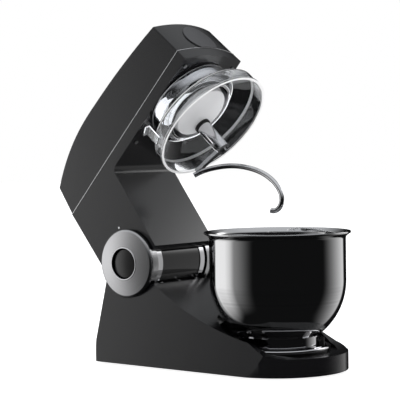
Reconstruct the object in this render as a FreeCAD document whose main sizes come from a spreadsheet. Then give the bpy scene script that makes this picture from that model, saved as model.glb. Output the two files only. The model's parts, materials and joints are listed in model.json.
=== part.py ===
import FreeCAD, Part
import math
import os
import re
import Sketcher

# Stand mixer with a tilting head, in millimetres.
# X points to the bowl side, -Y is the side with the speed dial, +Z is up, and Z = 0 is the table.
# The head is modelled level, about the hinge axis, and placed tilted up.

doc = FreeCAD.newDocument("StandMixer")
Vector = FreeCAD.Vector
sheet = doc.addObject("Spreadsheet::Sheet", "Sizes")

drivingSizes = {
    # where things stand
    "bowl_axis_x": 141.95,
    "hinge_back": 239.0,
    "hinge_height": 161.5,
    "open_angle": 48.2,
    # clearances
    "run_gap": 0.05,
    "small_gap": 0.3,
    "free_gap": 1.5,
    # bowl
    "bowl_radius": 105.0,
    "bowl_wall": 1.2,
    "bowl_belly": 140.5,
    "bowl_rim": 215.0,
    "rim_reach": 8.0,
    "bowl_flat": 32.0,
    "foot_radius": 62.0,
    "foot_wall": 4.0,
    "seat_top": 34.5,
    "seat_margin": 13.0,
    "post_top": 53.5,
    "wire_radius": 2.5,
    "handle_room": 18.0,
    "handle_pivot": 38.0,
    "pivot_x": 16.0,
    "pivot_room": 8.5,
    # base
    "nose_margin": 1.0,
    "base_half": 106.0,
    "base_top_half": 74.0,
    "base_tail": 55.5,
    "base_top": 130.0,
    "base_wall": 4.0,
    "foot_height": 4.0,
    "platform_top": 31.5,
    "hollow_top": 100.0,
    "dish_gap": 8.0,
    "pocket_margin": 10.0,
    # hinge
    "barrel_radius": 46.0,
    "barrel_half": 47.0,
    "barrel_wall": 3.0,
    "end_ring": 11.0,
    "cheek_web": 2.4,
    "shaft_radius": 8.0,
    "bush_wall": 3.0,
    "skirt_radius": 53.0,
    "hinge_ring_radius": 50.0,
    "hinge_ring_wall": 5.7,
    "dial_radius": 54.0,
    "dial_depth": 13.0,
    "badge_radius": 24.5,
    "latch_y": 64.0,
    "latch_z": 88.0,
    "latch_tooth": 112.5,
    "gland_radius": 6.0,
    "gland_y": 40.0,
    "gland_z": 28.0,
    # arm and head
    "arm_half": 73.0,
    "head_front_half": 70.0,
    "taper_start": 95.0,
    "arm_thick_half": 52.0,
    "arm_front": 61.0,
    "arm_lean": 12.0,
    "inner_soft": 9.0,
    "shell_wall": 3.6,
    "seam_height": 145.0,
    "tray_depth": 19.5,
    "head_back": 28.6,
    "head_overhang": 78.5,
    "front_bow": 9.5,
    "cover_back_top": 51.0,
    "cover_high": 80.0,
    "cover_front_top": 64.0,
    "cover_high_x": 110.0,
    "crown": 2.0,
    "trim_thick": 0.8,
    "hub_radius": 30.0,
    # drive
    "motor_x": 22.0,
    "motor_radius": 36.0,
    "motor_low": 66.0,
    "motor_high": 158.0,
    "plate_low": 132.0,
    "motor_pulley_radius": 12.0,
    "driven_pulley_radius": 52.0,
    "belt_width": 10.0,
    "belt_thick": 2.5,
    "spindle_radius": 9.0,
    "bearing_radius": 16.0,
    "bearing_width": 8.0,
    "gear_module": 1.5,
    "ring_teeth": 60,
    "planet_teeth": 16,
    "gear_width": 12.0,
    "gear_backlash": 0.3,
    "beater_radius": 7.0,
    "tool_tube_radius": 11.5,
    "tool_tube_end": 95.0,
    "orbit_angle": 140.0,
    # under the head
    "collar_radius": 70.0,
    "collar_depth": 34.0,
    "carrier_radius": 52.0,
    "carrier_depth": 36.0,
    "guard_radius": 98.0,
    "guard_low": 68.5,
    "guard_high": 41.0,
    "guard_wall": 2.2,
    "hook_wire": 4.0,
}

derivedSizes = {
    "hinge_x": "bowl_axis_x - hinge_back",
    "underside": "seam_height - tray_depth",
    "base_back": "hinge_back + base_tail",
    "head_front": "hinge_back + head_overhang",
    "nose_radius": "base_half + nose_margin",
    "seat_radius": "foot_radius + seat_margin",
    "handle_reach": "foot_radius + handle_room",
    "pivot_y": "foot_radius + pivot_room",
    "pocket_radius": "handle_reach + pocket_margin",
    "tool_x": "hinge_x + hinge_back * cos(open_angle) - underside * sin(open_angle)",
    "tool_z": "hinge_height + hinge_back * sin(open_angle) + underside * cos(open_angle)",
    "orbit": "gear_module * (ring_teeth - planet_teeth) / 2",
    "orbit_u": "orbit * cos(orbit_angle)",
    "orbit_y": "orbit * sin(orbit_angle)",
    "orbit_x": "tool_x + orbit_u * cos(open_angle)",
    "orbit_z": "tool_z + orbit_u * sin(open_angle)",
    "motor_place_x": "hinge_x + motor_x * cos(open_angle)",
    "motor_place_z": "hinge_height + motor_x * sin(open_angle)",
    "cradle_radius": "skirt_radius + free_gap",
    "latch_front": "36 - hinge_back",
    "post_radius": "handle_reach - 2 * wire_radius - 3 * free_gap",
    "shaft_end": "arm_half - 10.5",
    "dish_radius": "bowl_radius + dish_gap",
    "cheek_inner": "barrel_half + end_ring + small_gap * 2",
    "ring_inner_y": "cheek_inner + cheek_web",
    "dial_back": "arm_half + 2 * free_gap",
    "gear_top": "gear_width + 6",
    "housing_top": "gear_top + 6",
    "spindle_top": "housing_top + 2 * bearing_width + 4",
    "belt_low": "spindle_top + 5",
    "belt_top": "belt_low + belt_width",
}


def fillSheet():
    row = 1
    for name, size in drivingSizes.items():
        sheet.set("A%d" % row, name)
        sheet.set("B%d" % row, str(size))
        sheet.setAlias("B%d" % row, name)
        row += 1
    for name, rule in derivedSizes.items():
        sheet.set("A%d" % row, name)
        sheet.set("B%d" % row, "=" + rule)
        sheet.setAlias("B%d" % row, name)
        row += 1
    doc.recompute()


fillSheet()
sizeNames = sorted(list(drivingSizes) + list(derivedSizes), key=len, reverse=True)
sizePattern = re.compile(r"\b(" + "|".join(sizeNames) + r")\b")


def bound(rule):
    """A rule with each size name pointed at its cell."""
    return sizePattern.sub(r"Sizes.\1", str(rule))


def size(rule):
    """The present value of a rule."""
    return float(sheet.evalExpression(bound(rule)))


# ---------------------------------------------------------------- building blocks

def originPlane(body, role):
    return [f for f in body.Origin.OriginFeatures if f.Role == role][0]


def newBody(label):
    body = doc.addObject("PartDesign::Body", "Body")
    body.Label = label
    return body


def arcBetween(start, end, radius, side):
    """Circle arc from start to end with its belly to the left or right of the way it goes."""
    chord = end - start
    middle = (start + end) * 0.5
    left = Vector(-chord.y, chord.x, 0).normalize()
    reach = math.sqrt(max(radius ** 2 - (chord.Length / 2) ** 2, 0))
    centre = middle - left * reach if side == "left" else middle + left * reach
    first, last = (end, start) if side == "left" else (start, end)
    a = math.atan2(first.y - centre.y, first.x - centre.x)
    b = math.atan2(last.y - centre.y, last.x - centre.x)
    return Part.ArcOfCircle(Part.Circle(centre, Vector(0, 0, 1), radius), a, b)


def addSketch(body, plane, corners, offset=None):
    """Closed outline. A corner is (x, y), or (x, y, radius, side) when the run that leaves it is an arc."""
    sketch = body.newObject("Sketcher::SketchObject", "Outline")
    sketch.AttachmentSupport = [(originPlane(body, plane), "")]
    sketch.MapMode = "FlatFace"
    if offset is not None:
        sketch.setExpression("AttachmentOffset.Base.z", bound(offset))
    points = [Vector(size(c[0]), size(c[1]), 0) for c in corners]
    ends = []
    for i, corner in enumerate(corners):
        here, there = points[i], points[(i + 1) % len(points)]
        if len(corner) == 4:
            arc = arcBetween(here, there, size(corner[2]), corner[3])
            sketch.addGeometry(arc)
            ends.append((2, 1) if corner[3] == "left" else (1, 2))
        else:
            sketch.addGeometry(Part.LineSegment(here, there))
            ends.append((1, 2))
    for i, corner in enumerate(corners):
        before = (i - 1) % len(corners)
        sketch.addConstraint(Sketcher.Constraint("Coincident", before, ends[before][1], i, ends[i][0]))
        for kind, rule, value in (("DistanceX", corner[0], points[i].x), ("DistanceY", corner[1], points[i].y)):
            number = sketch.addConstraint(Sketcher.Constraint(kind, -1, 1, i, ends[i][0], value))
            sketch.setExpression("Constraints[%d]" % number, bound(rule))
        if len(corner) == 4:
            number = sketch.addConstraint(Sketcher.Constraint("Radius", i, size(corner[2])))
            sketch.setExpression("Constraints[%d]" % number, bound(corner[2]))
    return sketch


def padded(label, plane, corners, length, offset=None, both=False):
    """Outline padded along its plane's normal, to both sides alike if asked."""
    body = newBody(label)
    sketch = addSketch(body, plane, corners, offset)
    pad = body.newObject("PartDesign::Pad", "Pad")
    pad.Profile = sketch
    if both:
        pad.SideType = "Symmetric"
    pad.setExpression("Length", bound(length))
    body.Tip = pad
    return body


def turned(label, corners, about="Z"):
    """Half section (radius, height) turned about Z or Y."""
    body = newBody(label)
    sketch = addSketch(body, "XZ_Plane" if about == "Z" else "XY_Plane", corners)
    turn = body.newObject("PartDesign::Revolution", "Revolution")
    turn.Profile = sketch
    turn.ReferenceAxis = (sketch, ["V_Axis"])
    turn.Angle = 360.0
    body.Tip = turn
    return body


def ringSection(inner, outer, low, high):
    return [(inner, low), (outer, low), (outer, high), (inner, high)]


def cylinder(radius, low, length, x="0", y="0", about="Z"):
    piece = doc.addObject("Part::Cylinder", "Cylinder")
    piece.setExpression("Radius", bound(radius))
    piece.setExpression("Height", bound(length))
    if about == "Y":
        piece.Placement = FreeCAD.Placement(Vector(), FreeCAD.Rotation(Vector(1, 0, 0), -90))
        centre = {"x": x, "y": low, "z": y}
    elif about == "X":
        piece.Placement = FreeCAD.Placement(Vector(), FreeCAD.Rotation(Vector(0, 1, 0), 90))
        centre = {"x": low, "y": x, "z": y}
    else:
        centre = {"x": x, "y": y, "z": low}
    for letter, rule in centre.items():
        piece.setExpression(".Placement.Base." + letter, bound(rule))
    return piece


def box(lows, highs):
    """Box between two corners, each given as three rules."""
    piece = doc.addObject("Part::Box", "Box")
    for side, letter, low, high in zip(("Length", "Width", "Height"), "xyz", lows, highs):
        piece.setExpression(side, bound("(%s) - (%s)" % (high, low)))
        piece.setExpression(".Placement.Base." + letter, bound(low))
    return piece


def fused(pieces, label="fused"):
    union = doc.addObject("Part::MultiFuse", "Fusion")
    union.Shapes = pieces
    union.Label = label
    return union


def common(pieces, label="common"):
    meet = doc.addObject("Part::MultiCommon", "Common")
    meet.Shapes = pieces
    meet.Label = label
    return meet


def cut(base, tools, label):
    cutter = tools[0] if len(tools) == 1 else fused(tools)
    result = doc.addObject("Part::Cut", "Cut")
    result.Base = base
    result.Tool = cutter
    result.Label = label
    return result


def group(pieces, label):
    """Several separate solids in one piece, such as a set of screws."""
    result = doc.addObject("Part::Compound", "Group")
    result.Links = pieces
    result.Label = label
    return result


def coded(shape, label):
    result = doc.addObject("Part::Feature", "Shape")
    result.Shape = shape
    result.Label = label
    return result


nodes = []
places = {
    "base": ("bowl_axis_x", "0", "0", False),
    "hinge": ("hinge_x", "0", "hinge_height", False),
    "head": ("hinge_x", "0", "hinge_height", True),
    "tool": ("tool_x", "0", "tool_z", True),
    "orbit": ("orbit_x", "orbit_y", "orbit_z", True),
    "motor": ("motor_place_x", "0", "motor_place_z", True),
}


def place(piece, where, label=None):
    """Stand a finished piece in one of the named places and keep it as a node."""
    if label:
        piece.Label = label
    x, y, z, tilted = places[where]
    if tilted:
        piece.Placement = FreeCAD.Placement(Vector(), FreeCAD.Rotation(Vector(0, -1, 0), size("open_angle")))
        piece.setExpression(".Placement.Rotation.Angle", bound("open_angle"))
    for letter, rule in (("x", x), ("y", y), ("z", z)):
        piece.setExpression(".Placement.Base." + letter, bound(rule))
    nodes.append(piece)
    return piece


def spots(radius, count, start):
    """Places evenly spaced round a circle, as rules."""
    turn = [start + 360.0 * i / count for i in range(count)]
    return [("(%s) * cos(%s)" % (radius, a), "(%s) * sin(%s)" % (radius, a)) for a in turn]


def screw(x, y, head_low, head_high, shank_low, shank_radius=1.6, head_radius=3.2):
    """Screw along Z: a head between two heights and a shank down or up to a third."""
    head = cylinder(head_radius, head_low, "(%s) - (%s)" % (head_high, head_low), x, y)
    low = "min(%s; %s)" % (shank_low, head_low)
    top = "max(%s; %s)" % (shank_low, head_high)
    shank = cylinder(shank_radius, low, "(%s) - (%s)" % (top, low), x, y)
    return fused([head, shank], "screw")


# ---------------------------------------------------------------- base

def baseBlock(inset, low, label):
    """Outer form of the base, or its hollow when inset by the wall."""
    nose = "(nose_radius - %s)" % inset
    half = "(base_half - %s)" % inset
    back = "(base_back - %s)" % inset
    join = "sqrt(%s ^ 2 - %s ^ 2)" % (nose, half)
    plan = padded(label + " plan", "XY_Plane", [
        ("-%s + 14" % back, "-" + half), (join, "-" + half, nose, "right"), (nose, "0", nose, "right"),
        (join, half), ("-%s + 14" % back, half, "14", "right"), ("-" + back, half + " - 14"),
        ("-" + back, "-%s + 14" % half, "14", "right")], "base_top + 20 - (%s)" % low, low)
    high = "(base_top + 10)"
    slope = "(base_half - base_top_half) / base_top"
    topHalf = "(%s - %s * %s)" % (half, high, slope)
    section = padded(label + " section", "YZ_Plane", [
        ("-" + half, low), (half, low), (topHalf, high), ("-" + topHalf, high)], "700", both=True)
    drop = "(%s * 1.1)" % inset
    side = padded(label + " side", "XZ_Plane", [
        ("-" + back, low), ("nose_radius + 5", low), ("nose_radius + 5", "platform_top - %s" % drop),
        ("74", "platform_top - %s" % drop), ("42", "platform_top + 6 - %s" % drop),
        ("13 - %s * 0.5" % inset, "seat_top + 19 - %s" % drop, "600", "left"),
        ("cradle_radius - hinge_back - 3", "base_top - %s" % drop),
        ("-%s + 4" % back, "base_top - %s" % drop)], "400", both=True)
    return common([plan, section, side], label)


def baseShell():
    outer = baseBlock("0", "foot_height", "base outer")
    dish = turned("bowl dish", [
        ("0", "platform_top"), ("pocket_radius", "platform_top"),
        ("pocket_radius", "bowl_belly - sqrt(dish_radius ^ 2 - pocket_radius ^ 2)", "dish_radius", "right"),
        ("dish_radius", "bowl_belly"), ("dish_radius", "base_top + 30"), ("0", "base_top + 30")])
    cradle = cylinder("cradle_radius", "-base_half", "2 * base_half", "-hinge_back", "hinge_height", "Y")
    # the saddle is the front part of the cradle, which reaches in to carry the barrel
    saddleBlock = box(("12 - hinge_back", "0.6 - barrel_half - end_ring", "hollow_top"),
                      ("70 - hinge_back", "barrel_half + end_ring - 0.6", "base_top + 1"))
    barrelRoom = cylinder("barrel_radius", "-base_half", "2 * base_half", "-hinge_back", "hinge_height", "Y")
    # the shoulders of the base stand clear of the dial and of the cap on the other side
    dialRoom = [cylinder("dial_radius + free_gap", y, "30", "-hinge_back", "hinge_height", "Y")
                for y in ("arm_half + 1.2", "-arm_half - 31.2")]
    ringRooms = [cylinder("barrel_radius + 1.2", y, "end_ring", "-hinge_back", "hinge_height", "Y")
                 for y in ("barrel_half", "-barrel_half - end_ring")]
    saddle = cut(saddleBlock, [barrelRoom] + ringRooms, "saddle")
    cradleCut = cut(cradle, [saddle], "cradle beside the saddle")
    hollowSide = padded("hollow side", "XZ_Plane", [
        ("-base_back", "0"), ("nose_radius", "0"), ("nose_radius", "platform_top - base_wall"),
        ("-pocket_radius - base_wall", "platform_top - base_wall"),
        ("-pocket_radius - base_wall", "hollow_top - 28"), ("-pocket_radius - 60", "hollow_top"),
        ("-base_back", "hollow_top")], "400", both=True)
    hollow = common([baseBlock("base_wall", "foot_height - 1", "base inset"), hollowSide], "hollow")
    shell = cut(outer, [dish, cradleCut, hollow] + dialRoom, "shell")
    tops = ["hollow_top" if "back" in x else "platform_top - 3" for x, y in plateScrewSpots]
    bosses = [cylinder("5", "foot_height + 2", "%s - foot_height - 1" % top, x, y)
              for top, (x, y) in zip(tops, plateScrewSpots)]
    rib = box(("latch_front + 20", "latch_y - 8", "latch_z - 8"), ("latch_front + 23", "latch_y + 8", "hollow_top + 1"))
    holes = [cylinder("1.5", "foot_height", "13", x, y) for x, y in plateScrewSpots]
    holes.append(box(("-base_back - 5", "latch_y - 7", "latch_z - 6"),
                     ("-base_back + base_wall + 3", "latch_y + 7", "latch_z + 6")))
    holes.append(box(("latch_front - 14", "latch_y - 5", "hollow_top - 1"),
                     ("latch_front + 8", "latch_y + 5", "base_top")))
    holes.append(cylinder("gland_radius", "-base_back - 5", "base_wall + 9", "gland_y", "gland_z", "X"))
    return place(cut(fused([shell, rib] + bosses), holes, "base_shell"), "base")


plateScrewSpots = [("-base_back + 24", "base_half - 32"), ("-base_back + 24", "32 - base_half"),
                   ("-20", "base_half - 14"), ("-20", "14 - base_half"), ("nose_radius - 14", "0")]
footSpots = [("-base_back + 46", "base_half - 42"), ("-base_back + 46", "42 - base_half"),
             ("10", "base_half - 34"), ("10", "34 - base_half"), ("nose_radius - 34", "0")]


def basePlate():
    plate = common([baseBlock("(base_wall + small_gap)", "foot_height", "plate blank"),
                    box(("-base_back", "-base_half", "foot_height"),
                        ("nose_radius", "base_half", "foot_height + 1.6"))],
                   "plate blank")
    holes = [cylinder("1.8", "0", "10", x, y) for x, y in plateScrewSpots]
    holes += [cylinder("5", "0", "10", x, y) for x, y in footSpots]
    return place(cut(plate, holes, "base_plate"), "base")


def plateScrews():
    screws = [screw(x, y, "foot_height - 1.6", "foot_height", "foot_height + 11", "1.5") for x, y in plateScrewSpots]
    return place(group(screws, "base_plate_screws"), "base")


def rubberFeet():
    feet = []
    for x, y in footSpots:
        pad = cylinder("12", "0", "foot_height", x, y)
        stem = cylinder("4.8", "foot_height", "5", x, y)
        lip = cylinder("6.5", "foot_height + 2", "2.5", x, y)
        feet.append(fused([pad, stem, lip], "foot"))
    return place(group(feet, "rubber_feet"), "base")


def cableGland():
    flange = cylinder("gland_radius + 3", "-base_back - 3", "3", "gland_y", "gland_z", "X")
    stem = cylinder("gland_radius - 0.2", "-base_back - 3", "12", "gland_y", "gland_z", "X")
    bore = cylinder("3.5", "-base_back - 5", "20", "gland_y", "gland_z", "X")
    return place(cut(fused([flange, stem]), [bore], "cable_gland"), "base")


def bowlSeat():
    plate = cylinder("seat_radius", "platform_top", "seat_top - platform_top")
    hole = cylinder("foot_radius - 22", "platform_top - 1", "10")
    postRing = cut(cylinder("post_radius", "platform_top", "post_top - platform_top"),
                   [cylinder("foot_radius + free_gap", "0", "100")], "post ring")
    dome = doc.addObject("Part::Sphere", "Sphere")
    dome.setExpression("Radius", bound("dish_radius"))
    dome.setExpression(".Placement.Base.z", bound("bowl_belly"))
    posts = []
    for angle in (36.0, 216.0):
        block = box(("50", "-13", "platform_top"), ("seat_radius + 4", "13", "post_top"))
        turnedBlock = common([postRing, rotated(block, angle)], "post")
        posts.append(cut(turnedBlock, [dome], "post"))
    return place(fused([cut(plate, [hole], "seat plate")] + posts, "bowl_seat"), "base")


def rotated(piece, angle):
    """The piece turned about Z by an angle, as a new object."""
    holder = doc.addObject("Part::Compound", "Turned")
    holder.Links = [piece]
    holder.Placement = FreeCAD.Placement(Vector(), FreeCAD.Rotation(Vector(0, 0, 1), angle))
    return holder


# ---------------------------------------------------------------- hinge

def bothSides(half):
    """Outline of a half section that starts and ends on the middle plane, carried on to the other side."""
    inside = half[1:-1]
    return inside + [(radius, "-(%s)" % y) for radius, y in reversed(inside)]


def mirroredPair(piece, label):
    """The piece and its mirror image across the middle plane."""
    mirror = doc.addObject("Part::Mirroring", "Mirror")
    mirror.Source = piece
    mirror.Normal = Vector(0, 1, 0)
    return group([piece, mirror], label)


def hingeBarrel():
    end = "barrel_half + end_ring"
    inner = "barrel_radius - barrel_wall"
    spigot = "barrel_radius - 2"
    return place(turned("hinge_barrel", bothSides([
        ("barrel_radius", "0"), ("barrel_radius", "barrel_half"), (spigot, "barrel_half"), (spigot, end),
        ("shaft_radius + bush_wall", end), ("shaft_radius + bush_wall", end + " - 10"),
        (inner + " - 2", end + " - 10"), (inner + " - 2", "barrel_half - 6"), (inner, "barrel_half - 6"),
        (inner, "0")]), "Y"), "hinge")


def barrelEndRings():
    ring = turned("end ring", ringSection("barrel_radius - 2", "barrel_radius + 1.2",
                                          "barrel_half", "barrel_half + end_ring"), "Y")
    return place(mirroredPair(ring, "barrel_end_rings"), "hinge")


def hingeBushes():
    end = "barrel_half + end_ring"
    bush = turned("bush", ringSection("shaft_radius + run_gap", "shaft_radius + bush_wall", end + " - 10", end), "Y")
    return place(mirroredPair(bush, "hinge_bushes"), "hinge")


def barrelScrews():
    screws = [cylinder("3.2", "base_top - 1.2", "2.4", "barrel_radius * 0.7071 - hinge_back + 6", y)
              for y in ("4 - barrel_half", "0", "barrel_half - 4")]
    return place(group(screws, "barrel_screws"), "base")


def coilSpring(radius, wire, pitch, length, start, along):
    """Coil spring of round wire from a starting point along a direction."""
    stand = FreeCAD.Placement(start, FreeCAD.Rotation(Vector(0, 0, 1), along))
    path = Part.Wire(Part.makeHelix(pitch, length, radius))
    path.Placement = stand
    centre = stand.multVec(Vector(radius, 0, 0))
    section = Part.Wire(Part.makeCircle(wire, centre, stand.Rotation.multVec(Vector(0, 1, 0))))
    return path.makePipeShell([section], True, True)


def assistSpring():
    half = size("barrel_half") - 11
    coil = coilSpring(size("shaft_radius") + 5, 1.4, 4.2, 2 * half, Vector(0, -half, 0), Vector(0, 1, 0))
    return place(coded(coil, "assist_spring"), "hinge")


def hingeShaft():
    end = "shaft_end"
    return place(turned("hinge_shaft", ringSection("0", "shaft_radius", "-(%s)" % end, end), "Y"), "head")


def hingeRings():
    ring = turned("hinge ring", ringSection("hinge_ring_radius - hinge_ring_wall", "hinge_ring_radius",
                                            "ring_inner_y", "arm_half + 1.5"), "Y")
    return place(mirroredPair(ring, "hinge_rings"), "head")


def hingeCap():
    edge, back, depth = "dial_radius", "(arm_half + 1.5)", "dial_depth * 0.6"
    return place(turned("hinge_cap", [
        ("0", back), (edge + " - 1", back), (edge, back + " + 1"), (edge, back + " + 5"),
        (edge + " - 3", back + " + 7"), ("badge_radius", back + " + " + depth), ("0", back + " + " + depth)], "Y"),
        "head")


# ---------------------------------------------------------------- speed dial

def dialFace():
    back, front = "-dial_back", "-dial_back - dial_depth"
    return place(turned("dial_face", [
        ("badge_radius - 6", back), ("dial_radius - 1", back), ("dial_radius", back + " - 1"),
        ("dial_radius", back + " - 6"), ("dial_radius - 2", back + " - 8"), ("badge_radius + 2", front),
        ("badge_radius + 2", front + " + 3"), ("badge_radius - 6", front + " + 3")], "Y"), "head")


def dialRing():
    front = "-dial_back - dial_depth"
    return place(turned("dial_ring", ringSection("badge_radius", "badge_radius + 2",
                                                 front + " - 0.6", front + " + 3"), "Y"), "head")


def dialBadge():
    front = "-dial_back - dial_depth"
    return place(turned("dial_badge", ringSection("0", "badge_radius", front + " + 0.5", front + " + 3"), "Y"), "head")


def dialHub():
    front = "-dial_back - dial_depth"
    return place(turned("dial_hub", [
        ("3", "7.5 - arm_half"), ("3", "-dial_back + 2"), ("8", "-dial_back + 2"), ("8", "-dial_back"),
        ("badge_radius - 6", "-dial_back"), ("badge_radius - 6", front + " + 3"), ("0", front + " + 3"),
        ("0", "7.5 - arm_half")], "Y"), "head")


def speedEncoder():
    return place(turned("speed_encoder", [
        ("3 + run_gap", "4 - arm_half"), ("14", "4 - arm_half"), ("14", "9.5 - arm_half"), ("0", "9.5 - arm_half"),
        ("0", "8 - arm_half"), ("3 + run_gap", "8 - arm_half")], "Y"), "head")


def dialPointer():
    angle = "26"
    reach = "(dial_radius + 6.5)"
    mark = cylinder("1.8", "-arm_half - 0.6", "0.6", reach + " * sin(%s)" % angle,
                    reach + " * cos(%s)" % angle, "Y")
    return place(group([mark], "dial_pointer"), "head")


# ---------------------------------------------------------------- arm and head

def alongArm(across, up):
    """Point of the leaning arm: so far in front of its middle line, and so far up it."""
    return ("(%s) * cos(arm_lean) + (%s) * sin(arm_lean)" % (across, up),
            "(%s) * cos(arm_lean) - (%s) * sin(arm_lean)" % (up, across))


def onSkirt(angle, radius="skirt_radius"):
    return ("%s * cos(%s)" % (radius, angle), "%s * sin(%s)" % (radius, angle))


def halfAt(x, inset):
    """Half width of the head, which narrows from the arm to the front."""
    start, front = size("taper_start"), size("head_front")
    share = max(0.0, (x - start) / (front - start))
    return size("arm_half") - inset - (size("arm_half") - size("head_front_half")) * share


def headPlan(front, back, height, inset):
    """Plan of the head as a wire at one height: straight by the arm, narrowing to a bowed front."""
    bow, start = size("front_bow"), size("taper_start")
    wide, narrow = halfAt(start, inset), halfAt(front, inset)
    near = [Vector(back, -wide, height), Vector(start, -wide, height), Vector(front, -narrow, height)]
    far = [Vector(p.x, -p.y, height) for p in reversed(near)]
    nose = Part.Arc(near[2], Vector(front + bow, 0, height), far[0]).toShape()
    sides = [Part.makeLine(near[0], near[1]), Part.makeLine(near[1], near[2]), nose,
             Part.makeLine(far[0], far[1]), Part.makeLine(far[1], far[2]), Part.makeLine(far[2], near[0])]
    return Part.Wire(sides)


def headBlank(inset, low, high):
    """Straight-sided block of the head's plan, its front leaning back a little as it rises."""
    back = -size("skirt_radius") - 30
    seam, top = size("seam_height"), size("seam_height + cover_high")
    slope = -3.0 / size("cover_front_top")
    def frontAt(height):
        return size("head_front") - inset + (height - seam) * slope
    plans = [headPlan(frontAt(z), back, z, inset) for z in (low, high)]
    return Part.makeLoft(plans, True, True)


def coverTopAt(x):
    """Height of the cover's side edge above the seam, from two arcs that meet at its highest place."""
    highX, high = size("cover_high_x"), size("cover_high")
    if x < highX:
        run, fall = highX + size("head_back") - 13, high - size("cover_back_top")
    else:
        run, fall = size("head_front") - 3 - highX, high - size("cover_front_top")
    return high - fall * ((x - highX) / run) ** 2


def coverSolid(inset, low):
    """Crowned form of the head above a height: sections across the head, lofted along it."""
    seam = size("seam_height")
    sections = []
    start, end = -size("head_back") - 8, size("head_front") + size("front_bow") + 8
    count = 9
    for i in range(count):
        x = start + (end - start) * i / (count - 1)
        edge = seam + coverTopAt(x) - inset
        half = size("arm_half") - inset + 1
        left, right = Vector(x, -half, edge), Vector(x, half, edge)
        top = Part.Arc(left, Vector(x, 0, edge + size("crown")), right).toShape()
        down = Part.makeLine(right, Vector(x, half, low))
        across = Part.makeLine(Vector(x, half, low), Vector(x, -half, low))
        sections.append(Part.Wire([top, down, across, Part.makeLine(Vector(x, -half, low), left)]))
    form = Part.makeLoft(sections, True, False)
    return form.common(headBlank(inset, low - 1, seam + size("cover_high + crown") + 5)).common(backCut(inset))


def backCut(inset):
    """Everything in front of the leaning back face."""
    seam, back = size("seam_height"), -size("head_back") + inset
    rise = size("cover_back_top")
    corners = [(back - 13.0 * 40 / rise, seam - 40), (500, seam - 40), (500, seam + 160),
               (back + 13.0 * 160 / rise, seam + 160)]
    wire = Part.makePolygon([Vector(x, -200, z) for x, z in corners + corners[:1]])
    return Part.Face(wire).extrude(Vector(0, 400, 0))


def armFrame():
    backFoot = alongArm("-arm_thick_half", "-10")
    frontFoot = alongArm("arm_front", "-8")
    innerCorner = "(arm_front + underside * sin(arm_lean)) / cos(arm_lean)"
    side = padded("arm side", "XZ_Plane", [
        ("-head_back", "seam_height"), ("head_front + front_bow + 5", "seam_height"),
        ("head_front + front_bow + 5", "underside"),
        (innerCorner + " + inner_soft", "underside", "inner_soft * tan(45 + arm_lean / 2)", "right"),
        (innerCorner + " - inner_soft * sin(arm_lean)", "underside - inner_soft * cos(arm_lean)"),
        frontFoot, onSkirt("-22.9") + ("skirt_radius", "right"), onSkirt("-100") + ("skirt_radius", "right"),
        backFoot],
        "2 * arm_half", both=True)
    blank = coded(headBlank(0, -80, size("seam_height") + 5), "head plan")
    outer = common([side, blank], "arm outer")
    well = "(skirt_radius + 5)"
    wall = "(arm_front - shell_wall)"
    floor = "underside + shell_wall"
    low = alongArm("shell_wall - arm_thick_half", well)
    high = alongArm(wall, well)
    innerFront = "(%s + (%s) * sin(arm_lean)) / cos(arm_lean)" % (wall, floor)
    hollow = padded("arm hollow", "XZ_Plane", [
        low, high, (innerFront, floor), ("head_front - shell_wall - 6", floor),
        ("head_front - shell_wall - 6", "seam_height + 1"), ("shell_wall - head_back", "seam_height + 1")],
        "2 * (arm_half - shell_wall)", both=True)
    inside = coded(headBlank(size("shell_wall"), -80, size("seam_height") + 5), "head plan inside")
    room = common([hollow, inside], "arm room")
    inner = padded("barrel room", "XZ_Plane", circleOutline("barrel_radius + 2.7"), "2 * cheek_inner", both=True)
    groove = turned("ring groove", ringSection(
        "hinge_ring_radius - hinge_ring_wall", "hinge_ring_radius + small_gap", "ring_inner_y", "arm_half + 5"), "Y")
    grooves = mirroredPair(groove, "grooves")
    # the skirt closes the gap behind the hinge, and the front stays open so that the barrel shows
    wedge = padded("open front", "XZ_Plane", [
        onSkirt("-22.9", "20"), onSkirt("-22.9", "90"), onSkirt("-75", "110"), onSkirt("-128", "90"),
        onSkirt("-128", "20")], "2 * arm_half + 10", both=True)
    cheeks = [cylinder("hinge_ring_radius + small_gap", y, "30", "0", "0", "Y")
              for y in ("cheek_inner", "-cheek_inner - 30")]
    openFront = cut(wedge, cheeks, "open front")
    encoderRoom = cylinder("14", "-arm_half - 1", "10.8", "0", "0", "Y")
    bore = cylinder("shaft_radius", "-shaft_end", "2 * shaft_end", "0", "0", "Y")
    port = cylinder("carrier_radius + 5", "underside - 5", "shell_wall + 10", "hinge_back", "0")
    screwHoles = [cylinder("1.6", "underside - 2", "40", x, y) for x, y in coverScrewSpots]
    holes = [room, inner, grooves, openFront, encoderRoom, bore, port] + screwHoles
    return place(cut(outer, holes, "arm_frame"), "head")


def circleOutline(radius):
    r = "(%s)" % radius
    return [(r, "0", r, "right"), ("0", r, r, "right"), ("-" + r, "0", r, "right"), ("0", "-" + r, r, "right")]


def headCover():
    seam = size("seam_height + trim_thick")
    wall = size("shell_wall")
    shell = coverSolid(0, seam).cut(coverSolid(wall, seam - 3))
    disc = Part.makeCylinder(size("hub_radius - 2"), 40, Vector(size("head_front") - 15, 0, seam + 24), Vector(1, 0, 0))
    return place(coded(shell.cut(disc), "head_cover"), "head")


def seamTrim():
    low, high = size("seam_height"), size("seam_height + trim_thick")
    outer = headBlank(-0.4, low, high).common(backCut(-0.4))
    inner = headBlank(size("shell_wall"), low - 1, high + 1).common(backCut(size("shell_wall")))
    return place(coded(outer.cut(inner), "seam_trim"), "head")


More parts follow.
